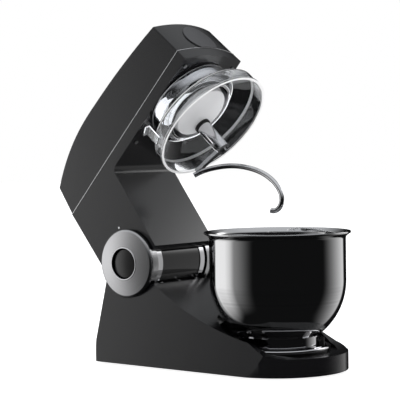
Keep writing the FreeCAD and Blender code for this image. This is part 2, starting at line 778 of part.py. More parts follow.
def hubCap():
    seam = size("seam_height + trim_thick")
    front = size("head_front")
    radius = size("hub_radius")
    reach = Part.makeCylinder(radius, 60, Vector(front - 30, 0, seam + 24), Vector(1, 0, 0))
    stem = Part.makeCylinder(size("hub_radius - 2.2"), 60, Vector(front - 30, 0, seam + 24), Vector(1, 0, 0))
    outside = headBlank(-1.6, seam, seam + 90)
    skin = headBlank(0, seam - 1, seam + 91)
    lip = outside.common(reach).cut(skin)
    plug = stem.common(skin).common(outside).cut(headBlank(6, seam - 1, seam + 91))
    return place(coded(lip.fuse(plug).removeSplitter(), "hub_cap"), "head")


# ---------------------------------------------------------------- motor and belt

def motorHousing():
    low, high = "motor_low", "motor_high"
    return place(turned("motor_housing", [
        ("0", low), ("motor_radius", low), ("motor_radius", "plate_low + 4"), ("motor_radius + 6", "plate_low + 4"),
        ("motor_radius + 6", "plate_low + 7"), ("motor_radius", "plate_low + 7"), ("motor_radius", high),
        ("7", high), ("7", high + " - 3"), ("motor_radius - 3", high + " - 3"), ("motor_radius - 3", low + " + 3"),
        ("0", low + " + 3")]), "motor")


def motorPlate():
    blank = box(("-20", "-60", "plate_low"), ("70", "60", "plate_low + 4"))
    inside = box(("-motor_x - head_back + shell_wall + 3", "-arm_half + shell_wall", "0"),
                 ("80", "arm_half - shell_wall", "400"))
    holes = [cylinder("motor_radius + 0.4", "0", "400")]
    holes += [cylinder("1.7", "0", "400", x, y) for x, y in motorScrewSpots]
    return place(cut(common([blank, inside], "plate"), holes, "motor_plate"), "motor")


motorScrewSpots = [("52", "50"), ("52", "-50"), ("-8", "50"), ("-8", "-50")]


def motorPlateScrews():
    screws = [screw(x, y, "plate_low + 4", "plate_low + 6.4", "plate_low - 5", "1.7") for x, y in motorScrewSpots]
    return place(group(screws, "motor_screws"), "motor")


def motorBearings():
    upper = turned("upper", ringSection("4 + run_gap", "7", "motor_high - 3", "motor_high"))
    lower = turned("lower", ringSection("4 + run_gap", "9", "motor_low + 3", "motor_low + 9"))
    return place(group([upper, lower], "motor_bearings"), "motor")


def motorRotor():
    top = "underside + belt_top + 2"
    return place(turned("motor_rotor", [
        ("0", "motor_low + 3.3"), ("4", "motor_low + 3.3"), ("4", "motor_low + 16"), ("24", "motor_low + 16"),
        ("24", "motor_high - 24"), ("4", "motor_high - 24"), ("4", top), ("0", top)]), "motor")


def coolingFan():
    low, high = "motor_high - 20", "motor_high - 8"
    hub = turned("fan hub", ringSection("4", "9", low, high))
    blades = [rotated(box(("8", "-0.8", low), ("30", "0.8", high)), 360.0 * i / 9) for i in range(9)]
    return place(fused([hub] + blades, "cooling_fan"), "motor")


def grooved(label, bore, radius, low, high, grooves):
    """Pulley with ribs cut round its rim."""
    pitch = "((%s) - (%s)) / %d" % (high, low, grooves)
    corners = [(bore, low)]
    for i in range(grooves):
        start = "(%s) + %d * %s" % (low, i, pitch)
        corners += [("%s" % radius, start + " + %s * 0.1" % pitch),
                    ("(%s) - 1.2" % radius, start + " + %s * 0.5" % pitch),
                    ("%s" % radius, start + " + %s * 0.9" % pitch)]
    corners.insert(1, (radius, low))
    corners += [(radius, high), (bore, high)]
    return turned(label, corners)


def motorPulley():
    return place(grooved("motor_pulley", "4", "motor_pulley_radius", "underside + belt_low",
                         "underside + belt_top", 3), "motor")


def drivenPulley():
    rim = grooved("rim", "driven_pulley_radius - 5", "driven_pulley_radius", "belt_low", "belt_top", 3)
    web = turned("web", ringSection("spindle_radius", "driven_pulley_radius - 4", "belt_low + 3", "belt_low + 7"))
    hub = turned("hub", ringSection("spindle_radius", "spindle_radius + 6", "belt_low", "belt_top"))
    holes = [cylinder("8", "belt_low", "20", x, y) for x, y in spots("31", 5, 0)]
    return place(cut(fused([rim, web, hub]), holes, "driven_pulley"), "tool")


def beltLoop(small, large, span, height):
    """Loop round two pulleys: two arcs and the straight runs between them."""
    turn = math.asin((large - small) / span)
    up = Vector(-math.sin(turn), math.cos(turn), 0)
    down = Vector(up.x, -up.y, 0)
    near, far = Vector(-span, 0, height), Vector(0, 0, height)
    a, b = near + up * small, far + up * large
    c, d = far + down * large, near + down * small
    wrap = Part.Arc(b, far + Vector(large, 0, 0), c).toShape()
    back = Part.Arc(d, near - Vector(small, 0, 0), a).toShape()
    return Part.Wire([Part.makeLine(a, b), wrap, Part.makeLine(c, d), back])


def driveBelt():
    span = size("hinge_back - motor_x")
    low, width = size("belt_low"), size("belt_width")
    faces = []
    for extra in (size("small_gap + belt_thick"), size("small_gap")):
        loop = beltLoop(size("motor_pulley_radius") + extra, size("driven_pulley_radius") + extra, span, low)
        faces.append(Part.Face(loop).extrude(Vector(0, 0, width)))
    return place(coded(faces[0].cut(faces[1]), "drive_belt"), "tool")


# ---------------------------------------------------------------- planetary drive

def gearOutline(teeth, module, outer, inner, thinner, phase):
    """Spur gear outline of 20 degree involute teeth, thinned at the pitch circle, with a tooth at the phase."""
    pitch = module * teeth / 2
    base = pitch * math.cos(math.radians(20))
    involute = math.tan(math.radians(20)) - math.radians(20)
    half = math.pi / (2 * teeth) - thinner / (2 * pitch)
    radii = [max(base, inner) + (outer - max(base, inner)) * k / 4 for k in range(5)]
    flank = []
    for r in radii:
        pressure = math.acos(min(base / r, 1))
        flank.append((r, half + involute - (math.tan(pressure) - pressure)))
    if inner < base:
        flank.insert(0, (inner, flank[0][1]))
    points = []
    for tooth in range(teeth):
        middle = phase + 2 * math.pi * tooth / teeth
        points += [(r, middle - turn) for r, turn in flank]
        points += [(r, middle + turn) for r, turn in reversed(flank)]
    corners = [Vector(r * math.cos(t), r * math.sin(t), 0) for r, t in points]
    return Part.Face(Part.makePolygon(corners + corners[:1]))


def ringGear():
    module, teeth = size("gear_module"), int(size("ring_teeth"))
    pitch = module * teeth / 2
    inside = gearOutline(teeth, module, pitch + 1.25 * module, pitch - 0.9 * module,
                         -size("gear_backlash") / 2, math.radians(size("orbit_angle")))
    low, width = size("gear_top - gear_width"), size("gear_width")
    room = inside.extrude(Vector(0, 0, width + 2))
    room.translate(Vector(0, 0, low - 1))
    blank = Part.makeCylinder(pitch + 6, width, Vector(0, 0, low))
    return place(coded(blank.cut(room), "ring_gear"), "tool")


def planetGear():
    module, teeth = size("gear_module"), int(size("planet_teeth"))
    pitch = module * teeth / 2
    face = gearOutline(teeth, module, pitch + 0.95 * module, pitch - 1.2 * module,
                       size("gear_backlash") / 2, math.radians(size("orbit_angle")))
    low, width = size("gear_top - gear_width"), size("gear_width")
    gear = face.extrude(Vector(0, 0, width))
    gear.translate(Vector(0, 0, low))
    bore = Part.makeCylinder(size("beater_radius - 1"), width + 2, Vector(0, 0, low - 1))
    return place(coded(gear.cut(bore), "planet_gear"), "orbit")


def gearboxHousing():
    room = "gear_module * ring_teeth / 2 + 6"
    outer = "(%s) + 5" % room
    floor = "shell_wall"
    return place(turned("gearbox_housing", [
        (room, floor), (outer + " + 8", floor), (outer + " + 8", floor + " + 3"), (outer, floor + " + 3"),
        (outer, "housing_top"), ("bearing_radius + 4", "housing_top"), ("bearing_radius + 4", "spindle_top"),
        ("bearing_radius", "spindle_top"), ("bearing_radius", "housing_top - 3"),
        (room + " - 4", "housing_top - 3"), (room + " - 4", "gear_top + 0.2"), (room, "gear_top + 0.2")]), "tool")


def gearboxScrews():
    reach = "gear_module * ring_teeth / 2 + 15"
    screws = [screw(x, y, "shell_wall + 3", "shell_wall + 5.6", "0.5", "1.8", "3.5") for x, y in spots(reach, 6, 30)]
    return place(group(screws, "gearbox_screws"), "tool")


def carrierBearings():
    bore = "spindle_radius + run_gap"
    lower = turned("lower", ringSection(bore, "bearing_radius", "housing_top - 3", "housing_top - 3 + bearing_width"))
    upper = turned("upper", ringSection(bore, "bearing_radius", "spindle_top - bearing_width", "spindle_top"))
    return place(group([lower, upper], "carrier_bearings"), "tool")


def planetCarrier():
    side = turned("carrier cone", [
        ("spindle_radius - 1", "3"), ("carrier_radius", "3"), ("carrier_radius", "-8"),
        ("carrier_radius - 6", "1 - carrier_depth"), ("carrier_radius - 7", "-carrier_depth"),
        ("0", "-carrier_depth"), ("0", "-carrier_depth + 6"), ("spindle_radius - 1", "-carrier_depth + 6")])
    bore = cylinder("beater_radius + bush_wall", "-carrier_depth - 2", "carrier_depth + 8",
                    "orbit * cos(orbit_angle)", "orbit * sin(orbit_angle)")
    return place(cut(side, [bore], "planet_carrier"), "tool")


def carrierShaft():
    return place(turned("carrier_shaft", [
        ("0", "-carrier_depth + 6"), ("spindle_radius - 1", "-carrier_depth + 6"), ("spindle_radius - 1", "3"),
        ("spindle_radius", "3"), ("spindle_radius", "belt_top + 2"), ("0", "belt_top + 2")]), "tool")


def beaterBushes():
    inner, outer = "beater_radius + run_gap", "beater_radius + bush_wall"
    lower = turned("lower", ringSection(inner, outer, "-carrier_depth", "-carrier_depth + 12"))
    upper = turned("upper", ringSection(inner, outer, "-9", "3"))
    return place(group([lower, upper], "beater_bushes"), "orbit")


def beaterShaft():
    return place(turned("beater_shaft", [
        ("0", "4 - tool_tube_end"), ("beater_radius", "4 - tool_tube_end"),
        ("beater_radius", "gear_top - gear_width - 0.5"), ("beater_radius - 1", "gear_top - gear_width - 0.5"),
        ("beater_radius - 1", "gear_top + 2"), ("0", "gear_top + 2")]), "orbit")


def shaftSeal():
    return place(turned("shaft_seal", ringSection("beater_radius", "tool_tube_radius + 2",
                                                  "-carrier_depth - 4.4", "-carrier_depth - 0.4")), "orbit")


def bayonetPin():
    pin = cylinder("2", "-tool_tube_radius - 4", "2 * tool_tube_radius + 8", "0", "12 - tool_tube_end", "Y")
    room = cylinder("beater_radius", "-200", "400")
    return place(cut(pin, [room], "bayonet_pin"), "orbit")


def driveCollar():
    return place(turned("drive_collar", [
        ("carrier_radius + 2", "0"), ("collar_radius", "0"), ("collar_radius", "-5"),
        ("collar_radius - 1.5", "-12", "40", "left"), ("carrier_radius + 6", "-collar_depth"),
        ("carrier_radius + 2", "-collar_depth")]), "tool")


def splashGuard():
    neck = "collar_radius + small_gap"
    wall = "guard_wall"
    ring = turned("guard ring", [
        (neck, "-3"), (neck + " + " + wall, "-3"), (neck + " + " + wall, "-22"),
        ("guard_radius - 3", "-guard_high"), ("guard_radius", "-guard_high - 4"),
        ("guard_radius", "-guard_low + 3"), ("guard_radius + 2", "-guard_low + 3"),
        ("guard_radius + 2", "-guard_low"), ("guard_radius - " + wall, "-guard_low"),
        ("guard_radius - " + wall, "-guard_high - 5"), ("guard_radius - 4", "-guard_high - " + wall),
        (neck, "-22 - " + wall)])
    feed = rotated(box(("collar_radius + 6", "-17", "-guard_high + 0.5"), ("guard_radius - 7", "17", "-10")), -35)
    return place(cut(ring, [feed], "splash_guard"), "tool")


def guardTab():
    upright = box(("guard_radius + 0.2", "-9", "-guard_high - 14"), ("guard_radius + 2.6", "9", "-guard_high + 14"))
    lip = box(("guard_radius + 0.2", "-9", "-guard_high + 11.6"), ("guard_radius + 9", "9", "-guard_high + 14"))
    return place(group([rotated(fused([upright, lip]), -115)], "guard_tab"), "tool")


def doughHook():
    end = size("tool_tube_end")
    radius = size("hook_wire")
    tube = Part.makeCylinder(size("tool_tube_radius"), end - 42, Vector(0, 0, -end))
    bore = Part.makeCylinder(size("beater_radius") + 0.4, end + 10, Vector(0, 0, -end - 5))
    # slots that the cross pin drops into
    slot = Part.makeBox(60, 4.6, 17, Vector(-30, -2.3, -end - 1))
    slot.rotate(Vector(), Vector(0, 0, 1), 90)
    outward = Vector(-0.9, -0.437, 0)
    turn = math.degrees(math.atan2(outward.y, outward.x))
    strut = Part.makeBox(46, 9, 6, Vector(size("tool_tube_radius") - 1, -4.5, -end + 1))
    strut.rotate(Vector(), Vector(0, 0, 1), turn)
    # centre line of the rod: distance out along the strut, distance to its side, drop below the tube's end
    line = [(63, 2, -1), (46, 0, 4), (30, -1, 13), (8, -1, 31), (-10, 0, 55), (-22, 2, 84),
            (-24, 4, 112), (-16, 3, 134), (-3, 0, 141), (9, -2, 134)]
    across = Vector(-outward.y, outward.x, 0)
    route = [outward * a + across * b + Vector(0, 0, -end - c) for a, b, c in line]
    curve = Part.BSplineCurve()
    curve.interpolate(route)
    first = curve.tangent(curve.FirstParameter)[0]
    section = Part.Wire(Part.makeCircle(radius, route[0], first))
    rod = Part.Wire(curve.toShape()).makePipeShell([section], True, True)
    body = tube.cut(bore).cut(slot).fuse([strut.cut(bore), rod]).removeSplitter()
    return place(coded(body, "dough_hook"), "orbit")


# ---------------------------------------------------------------- bowl

def bowl():
    belly, radius, wall = "bowl_belly", "bowl_radius", "bowl_wall"
    low = "bowl_belly - sqrt(bowl_radius ^ 2 - bowl_flat ^ 2)"
    inside = "(bowl_radius - bowl_wall)"
    lowInside = "bowl_belly - sqrt(%s ^ 2 - bowl_flat ^ 2)" % inside
    return place(turned("bowl", [
        ("0", low), ("bowl_flat", low, radius, "right"), (radius, belly), (radius, "bowl_rim - 8"),
        ("bowl_radius + rim_reach - 1", "bowl_rim - 1.5"), ("bowl_radius + rim_reach", "bowl_rim"),
        ("bowl_radius + rim_reach - 1.5", "bowl_rim"), (inside, "bowl_rim - 7"),
        (inside, belly, inside, "left"), ("bowl_flat", lowInside), ("0", lowInside)]), "base")


def bowlFoot():
    ball = "bowl_belly - sqrt(bowl_radius ^ 2 - (%s) ^ 2)"
    inner = "foot_radius - foot_wall"
    return place(turned("bowl_foot", [
        (inner, "seat_top"), ("foot_radius", "seat_top"), ("foot_radius", ball % "foot_radius", "bowl_radius", "left"),
        (inner + " - 6", ball % (inner + " - 6")), (inner + " - 6", "(%s) - 2" % (ball % (inner + " - 6"))),
        (inner, "(%s) - 6" % (ball % inner))]), "base")


def handleBrackets():
    clips = []
    for angle in (0.0, 180.0):
        block = box(("foot_radius - 6", "-9", "seat_top + 0.5"),
                    ("handle_reach - 2 * wire_radius - 1.2", "9", "seat_top + 7"))
        clips.append(rotated(block, angle))
    pivots = [box(("%s * pivot_x - 6" % sign, "foot_radius - 12", "handle_pivot - 3"),
                  ("%s * pivot_x + 6" % sign, "pivot_y", "handle_pivot + 7")) for sign in (1, -1)]
    mirror = doc.addObject("Part::Mirroring", "Mirror")
    mirror.Source = fused(pivots)
    mirror.Normal = Vector(0, 1, 0)
    holes = [cylinder("wire_radius + run_gap", "-100", "200", "%s * pivot_x" % sign, "handle_pivot", "Y")
             for sign in (1, -1)]
    foot = cylinder("foot_radius", "0", "100")
    return place(cut(fused(clips + pivots + [mirror]), [foot] + holes, "handle_brackets"), "base")


def wireHandle():
    """Round wire loop that lies round the foot and hinges in two brackets."""
    x, z = size("pivot_x"), size("handle_pivot")
    reach, wire = size("handle_reach - wire_radius"), size("wire_radius")
    side = math.sqrt(reach ** 2 - x ** 2)
    pin = size("foot_radius + 2")
    ends = [Vector(x, y, z) for y in (-pin, -side, side, pin)]
    loop = Part.Arc(ends[1], Vector(reach, 0, z), ends[2]).toShape()
    path = Part.Wire([Part.makeLine(ends[0], ends[1]), loop, Part.makeLine(ends[2], ends[3])])
    section = Part.Wire(Part.makeCircle(wire, ends[0], Vector(0, 1, 0)))
    return path.makePipeShell([section], True, True, 2)


def frontHandle():
    return place(coded(wireHandle(), "front_handle"), "base")


def rearHandle():
    return place(coded(wireHandle().mirror(Vector(), Vector(1, 0, 0)), "rear_handle"), "base")


# ---------------------------------------------------------------- latch, board and cover screws

def latchSlider():
    bar = box(("-base_back + 3", "latch_y - 3.5", "latch_z - 3.5"), ("latch_front", "latch_y + 3.5", "latch_z + 3.5"))
    tooth = box(("latch_front - 8", "latch_y - 3.5", "latch_z"), ("latch_front", "latch_y + 3.5", "latch_tooth"))
    return place(fused([bar, tooth], "latch_slider"), "base")


def releaseButton():
    cap = box(("-base_back - 2.5", "latch_y - 6", "latch_z - 5"), ("-base_back + 3", "latch_y + 6", "latch_z + 5"))
    collar = box(("-base_back + base_wall + 3.6", "latch_y - 9", "latch_z - 8"),
                 ("-base_back + base_wall + 5.6", "latch_y + 9", "latch_z + 8"))
    stem = box(("-base_back - 2", "latch_y - 6", "latch_z - 5"),
               ("-base_back + base_wall + 5", "latch_y + 6", "latch_z + 5"))
    room = box(("-base_back + 3", "latch_y - 3.5", "latch_z - 3.5"), ("0", "latch_y + 3.5", "latch_z + 3.5"))
    return place(cut(fused([cap, collar, stem]), [room], "release_button"), "base")


def latchSpring():
    start = Vector(size("latch_front") + 0.8, size("latch_y"), size("latch_z"))
    return place(coded(coilSpring(4, 0.6, 2.6, 18.4, start, Vector(1, 0, 0)), "latch_spring"), "base")


def controlBoard():
    board = box(("-16", "48", "72"), ("50", "49.6", "126"))
    chips = [box(("-8", "46", "80"), ("8", "48", "96")), box(("16", "42", "78"), ("30", "48", "90")),
             box(("36", "45", "100"), ("46", "48", "120"))]
    return place(fused([board] + chips, "control_board"), "head")


coverScrewSpots = [("head_front - 14", "arm_half - 14"), ("head_front - 14", "14 - arm_half"),
                   ("hinge_back - 92", "arm_half - 14"), ("hinge_back - 92", "14 - arm_half")]


def coverScrews():
    screws = [screw(x, y, "underside - 1.6", "underside", "underside + 12", "1.6") for x, y in coverScrewSpots]
    return place(group(screws, "cover_screws"), "head")


makers = [
    baseShell, basePlate, plateScrews, rubberFeet, cableGland, bowlSeat, hingeBarrel, barrelEndRings, hingeBushes,
    barrelScrews, assistSpring, latchSlider, releaseButton, latchSpring,
    hingeShaft, hingeRings, hingeCap, speedEncoder, dialPointer, armFrame, headCover, seamTrim, hubCap, coverScrews,
    controlBoard, motorHousing, motorPlate, motorPlateScrews, motorBearings, driveBelt, gearboxHousing,
    gearboxScrews, ringGear, carrierBearings, driveCollar, splashGuard, guardTab,
    dialFace, dialRing, dialBadge, dialHub, motorRotor, coolingFan, motorPulley,
    drivenPulley, carrierShaft, planetCarrier, beaterBushes,
    beaterShaft, planetGear, shaftSeal, bayonetPin, doughHook, bowl, bowlFoot, handleBrackets,
    frontHandle, rearHandle,
]
for make in makers:
    make()
doc.recompute()


def checkAndExport():
    faults = []
    for item in doc.Objects:
        if "Invalid" in item.State or "Error" in item.State:
            faults.append("%s (%s) is %s" % (item.Label, item.Name, item.State))
    for piece in nodes:
        if piece.Shape.isNull() or not piece.Shape.isValid() or not piece.Shape.Solids:
            faults.append("%s has no valid solid" % piece.Label)
    if faults:
        raise RuntimeError("; ".join(faults))
    os.makedirs("parts", exist_ok=True)
    whole = FreeCAD.BoundBox()
    for piece in nodes:
        piece.Shape.exportStep("parts/%s.step" % piece.Label)
        whole.add(piece.Shape.BoundBox)
        print("%-20s %2d solid(s) %10.0f mm3" % (piece.Label, len(piece.Shape.Solids), piece.Shape.Volume))
    print(len(nodes), "nodes; box", whole)


checkAndExport()
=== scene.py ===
import bpy
import bmesh
import json
import math
from mathutils import Matrix, Vector


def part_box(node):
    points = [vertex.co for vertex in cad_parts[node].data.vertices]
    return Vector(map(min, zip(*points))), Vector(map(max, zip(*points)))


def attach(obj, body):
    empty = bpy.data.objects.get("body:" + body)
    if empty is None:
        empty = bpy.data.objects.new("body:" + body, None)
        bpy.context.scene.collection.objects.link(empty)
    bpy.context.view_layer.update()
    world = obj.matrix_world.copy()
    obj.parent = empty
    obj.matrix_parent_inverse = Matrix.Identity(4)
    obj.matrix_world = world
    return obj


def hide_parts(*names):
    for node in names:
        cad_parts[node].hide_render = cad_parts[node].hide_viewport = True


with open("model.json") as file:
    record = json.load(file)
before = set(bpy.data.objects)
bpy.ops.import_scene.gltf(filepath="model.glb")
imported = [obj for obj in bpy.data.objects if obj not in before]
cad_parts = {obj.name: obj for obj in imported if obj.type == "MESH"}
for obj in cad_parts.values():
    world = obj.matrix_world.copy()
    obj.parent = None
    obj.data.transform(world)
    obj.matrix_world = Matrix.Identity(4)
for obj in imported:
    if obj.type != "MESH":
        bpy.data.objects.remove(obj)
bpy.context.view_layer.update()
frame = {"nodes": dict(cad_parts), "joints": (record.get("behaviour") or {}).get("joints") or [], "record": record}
nodes = frame["nodes"]
joints = {j["name"]: j for j in frame["joints"]}
print("frame loaded:", len(nodes), "nodes")


# places read from the frame
tiltJoint = joints["head_tilt"]
hinge = Vector(tiltJoint["pos_m"])
openAngle = math.radians(tiltJoint["range_deg"][1])
toolCentre = Vector(joints["carrier_spin"]["pos_m"])
bowlCentre = Vector(joints["bowl_twist"]["pos_m"])
tilt = Matrix.Rotation(-openAngle, 4, "Y")  # level head to raised head


# finishes
def newFinish(name, colour, metal, rough, **more):
    finish = bpy.data.materials.new(name)
    finish.use_nodes = True
    tree = finish.node_tree
    shader = tree.nodes["Principled BSDF"]
    shader.inputs["Base Color"].default_value = (*colour, 1)
    shader.inputs["Metallic"].default_value = metal
    shader.inputs["Roughness"].default_value = rough
    for socket, value in more.items():
        shader.inputs[socket.replace("_", " ")].default_value = value
    return finish, tree, shader


def addNode(tree, kind, **settings):
    node = tree.nodes.new(kind)
    for key, value in settings.items():
        setattr(node, key, value)
    return node


def roughBetween(tree, shader, source, low, high):
    spread = addNode(tree, "ShaderNodeMapRange")
    spread.inputs["To Min"].default_value = low
    spread.inputs["To Max"].default_value = high
    tree.links.new(source, spread.inputs["Value"])
    tree.links.new(spread.outputs["Result"], shader.inputs["Roughness"])


def tintBetween(tree, shader, source, dark, light):
    blend = addNode(tree, "ShaderNodeMix", data_type="RGBA")
    blend.inputs["A"].default_value = (*dark, 1)
    blend.inputs["B"].default_value = (*light, 1)
    tree.links.new(source, blend.inputs["Factor"])
    tree.links.new(blend.outputs["Result"], shader.inputs["Base Color"])


def bumpFrom(tree, shader, source, strength, depth):
    bump = addNode(tree, "ShaderNodeBump")
    bump.inputs["Strength"].default_value = strength
    bump.inputs["Distance"].default_value = depth
    tree.links.new(source, bump.inputs["Height"])
    tree.links.new(bump.outputs["Normal"], shader.inputs["Normal"])


def noiseOn(tree, scale, detail=3.0, stretch=None):
    place = addNode(tree, "ShaderNodeTexCoord")
    noise = addNode(tree, "ShaderNodeTexNoise")
    noise.inputs["Scale"].default_value = scale
    noise.inputs["Detail"].default_value = detail
    if stretch:
        mapping = addNode(tree, "ShaderNodeMapping")
        mapping.inputs["Scale"].default_value = stretch
        tree.links.new(place.outputs["Object"], mapping.inputs["Vector"])
        tree.links.new(mapping.outputs["Vector"], noise.inputs["Vector"])
    else:
        tree.links.new(place.outputs["Object"], noise.inputs["Vector"])
    return noise.outputs["Fac"]


tintSpread = {"dark": 0.85, "light": 1.15, "lineLight": 1.12}  # how far a finish strays from its own colour


# cast, moulded and plated skins: slow clouds in tint and gloss, fine grain in the bump
def grained(name, colour, metal, rough, grainScale, grain, **more):
    finish, tree, shader = newFinish(name, colour, metal, rough, **more)
    cloud = noiseOn(tree, 14.0, 4.0)
    roughBetween(tree, shader, cloud, rough * 0.8, rough * 1.25)
    tintBetween(tree, shader, cloud,
                [c * tintSpread["dark"] for c in colour], [min(c * tintSpread["light"], 1) for c in colour])
    bumpFrom(tree, shader, noiseOn(tree, grainScale, 2.0), grain, 0.0002)
    return finish


# turned metal: fine rings round an axis
def latheLines(name, colour, rough, centre, axis, density, depth, **more):
    finish, tree, shader = newFinish(name, colour, 1.0, rough, **more)
    place = addNode(tree, "ShaderNodeTexCoord")
    mapping = addNode(tree, "ShaderNodeMapping")
    turn = Vector(axis).rotation_difference(Vector((0, 0, 1))).to_euler()
    mapping.vector_type = "POINT"
    shifted = turn.to_matrix() @ (-Vector(centre))
    mapping.inputs["Rotation"].default_value = turn
    mapping.inputs["Location"].default_value = shifted
    tree.links.new(place.outputs["Object"], mapping.inputs["Vector"])
    flat = addNode(tree, "ShaderNodeVectorMath", operation="MULTIPLY")
    flat.inputs[1].default_value = (1, 1, 0)
    tree.links.new(mapping.outputs["Vector"], flat.inputs[0])
    reach = addNode(tree, "ShaderNodeVectorMath", operation="LENGTH")
    tree.links.new(flat.outputs["Vector"], reach.inputs[0])
    lines = addNode(tree, "ShaderNodeTexNoise", noise_dimensions="1D")
    lines.inputs["Scale"].default_value = density
    lines.inputs["Detail"].default_value = 4.0
    tree.links.new(reach.outputs["Value"], lines.inputs["W"])
    roughBetween(tree, shader, lines.outputs["Fac"], rough * 0.75, rough * 1.35)
    tintBetween(tree, shader, lines.outputs["Fac"],
                [c * tintSpread["dark"] for c in colour], [min(c * tintSpread["lineLight"], 1) for c in colour])
    bumpFrom(tree, shader, lines.outputs["Fac"], depth, 0.0003)
    return finish


paint = {"colour": (0.006, 0.006, 0.0068), "rough": 0.23, "peelScale": 900.0, "peel": 0.03}
dialAxis = (0, -1, 0)

satinBlack = grained("satinBlackPaint", paint["colour"], 0.0, paint["rough"], paint["peelScale"], paint["peel"],
                     Coat_Weight=0.2, Coat_Roughness=0.12)
glossBlack = grained("glossBlackLacquer", (0.004, 0.004, 0.004), 0.0, 0.07, 300.0, 0.01, Coat_Weight=0.6,
                     Coat_Roughness=0.03)
badgeBlack = grained("badgeBlack", (0.006, 0.006, 0.006), 0.0, 0.22, 500.0, 0.02)
blackPlastic = grained("blackMouldedPlastic", (0.015, 0.015, 0.016), 0.0, 0.42, 1500.0, 0.12)
greyPlastic = grained("greySeamPlastic", (0.42, 0.43, 0.44), 0.0, 0.35, 700.0, 0.05)
hubSkin = grained("smokedHubSkin", (0.13, 0.13, 0.135), 0.6, 0.32, 800.0, 0.05)
chrome = grained("polishedChrome", (0.82, 0.82, 0.84), 1.0, 0.045, 400.0, 0.003)
plainSteel = grained("plainSteel", (0.5, 0.5, 0.51), 1.0, 0.3, 500.0, 0.05)
polishedWire = grained("polishedWire", (0.74, 0.74, 0.75), 1.0, 0.09, 350.0, 0.012)
castMetal = grained("castMetal", (0.35, 0.35, 0.36), 1.0, 0.5, 700.0, 0.3)
bronze = grained("sinteredBronze", (0.45, 0.32, 0.17), 1.0, 0.45, 900.0, 0.2)
rubber = grained("mattRubber", (0.012, 0.012, 0.012), 0.0, 0.7, 1200.0, 0.2)
boardGreen = grained("boardGreen", (0.02, 0.1, 0.045), 0.0, 0.4, 600.0, 0.05)
whiteMark = grained("printedWhite", (0.8, 0.8, 0.8), 0.0, 0.4, 600.0, 0.02)
bowlSteel = latheLines("polishedBowlSteel", (0.6, 0.6, 0.605), 0.05, bowlCentre, (0, 0, 1), 900.0, 0.004)
bowlInside = latheLines("brushedBowlInside", (0.6, 0.6, 0.605), 0.24, bowlCentre, (0, 0, 1), 1600.0, 0.03)
dialMetal = latheLines("turnedDialMetal", (0.5, 0.5, 0.51), 0.23, hinge, dialAxis, 4200.0, 0.008,
                       Anisotropic=0.75)
ringMetal = latheLines("turnedRingMetal", (0.62, 0.62, 0.63), 0.2, hinge, dialAxis, 1800.0, 0.06)


# highlights stretch across the turning grooves, and ride with the piece
def grooveDirection(finish, centre, axis):
    tree = finish.node_tree
    place = addNode(tree, "ShaderNodeTexCoord")
    away = addNode(tree, "ShaderNodeVectorMath", operation="SUBTRACT")
    away.inputs[1].default_value = centre
    along = addNode(tree, "ShaderNodeVectorMath", operation="CROSS_PRODUCT")
    along.inputs[1].default_value = axis
    unit = addNode(tree, "ShaderNodeVectorMath", operation="NORMALIZE")
    riding = addNode(tree, "ShaderNodeVectorTransform", vector_type="VECTOR",
                     convert_from="OBJECT", convert_to="WORLD")
    tree.links.new(place.outputs["Object"], away.inputs[0])
    tree.links.new(away.outputs[0], along.inputs[0])
    tree.links.new(along.outputs[0], unit.inputs[0])
    tree.links.new(unit.outputs[0], riding.inputs[0])
    tree.links.new(riding.outputs[0], tree.nodes["Principled BSDF"].inputs["Tangent"])


grooveDirection(dialMetal, hinge, dialAxis)

clearPlastic, clearTree, clearShader = newFinish("clearMouldedPlastic", (0.93, 0.94, 0.95), 0.0, 0.03,
                                                 Transmission_Weight=1.0, IOR=1.46)
roughBetween(clearTree, clearShader, noiseOn(clearTree, 30.0), 0.01, 0.05)

# painted highlight: opaque white for the guard's cut rims, in place of the light the clear edges catch
paintedRimHighlight, rimHighlightTree, rimHighlightShader = newFinish("paintedGuardRimHighlight", (1.0, 1.0, 1.0), 0.0, 0.3, IOR=1.46)
roughBetween(rimHighlightTree, rimHighlightShader, noiseOn(rimHighlightTree, 400.0), 0.25, 0.4)
print("finishes ready")

finishOf = {
    "black_paint": satinBlack, "gloss_black": glossBlack, "chrome": chrome, "steel": plainSteel,
    "polished_steel": polishedWire, "satin_aluminium": ringMetal, "cast_aluminium": castMetal,
    "rubber": rubber, "black_plastic": blackPlastic, "grey_plastic": greyPlastic,
    "clear_plastic": clearPlastic, "bronze": bronze, "white_mark": whiteMark, "board_green": boardGreen,
}
slotOf = {s["node"]: s["material_slot"] for s in frame["record"]["subparts"]}
carrierMetal = grained("satinCarrier", (0.8, 0.8, 0.81), 0.1, 0.3, 600.0, 0.01)
seamMetal = grained("satinSeamMetal", (0.75, 0.75, 0.76), 0.8, 0.32, 600.0, 0.02)
ownFinish = {
    "hub_cap": hubSkin, "seam_trim": seamMetal, "planet_carrier": carrierMetal, "dial_face": dialMetal,
    "dial_badge": badgeBlack, "bowl": bowlSteel, "bowl_foot": bowlSteel,
}
bodyOf = {n: b for b, members in frame["record"]["behaviour"]["bodies"].items() for n in members}


def finishFor(node):
    return ownFinish.get(node, finishOf[slotOf[node]])


for name, piece in nodes.items():
    piece.data.materials.clear()
    piece.data.materials.append(finishFor(name))


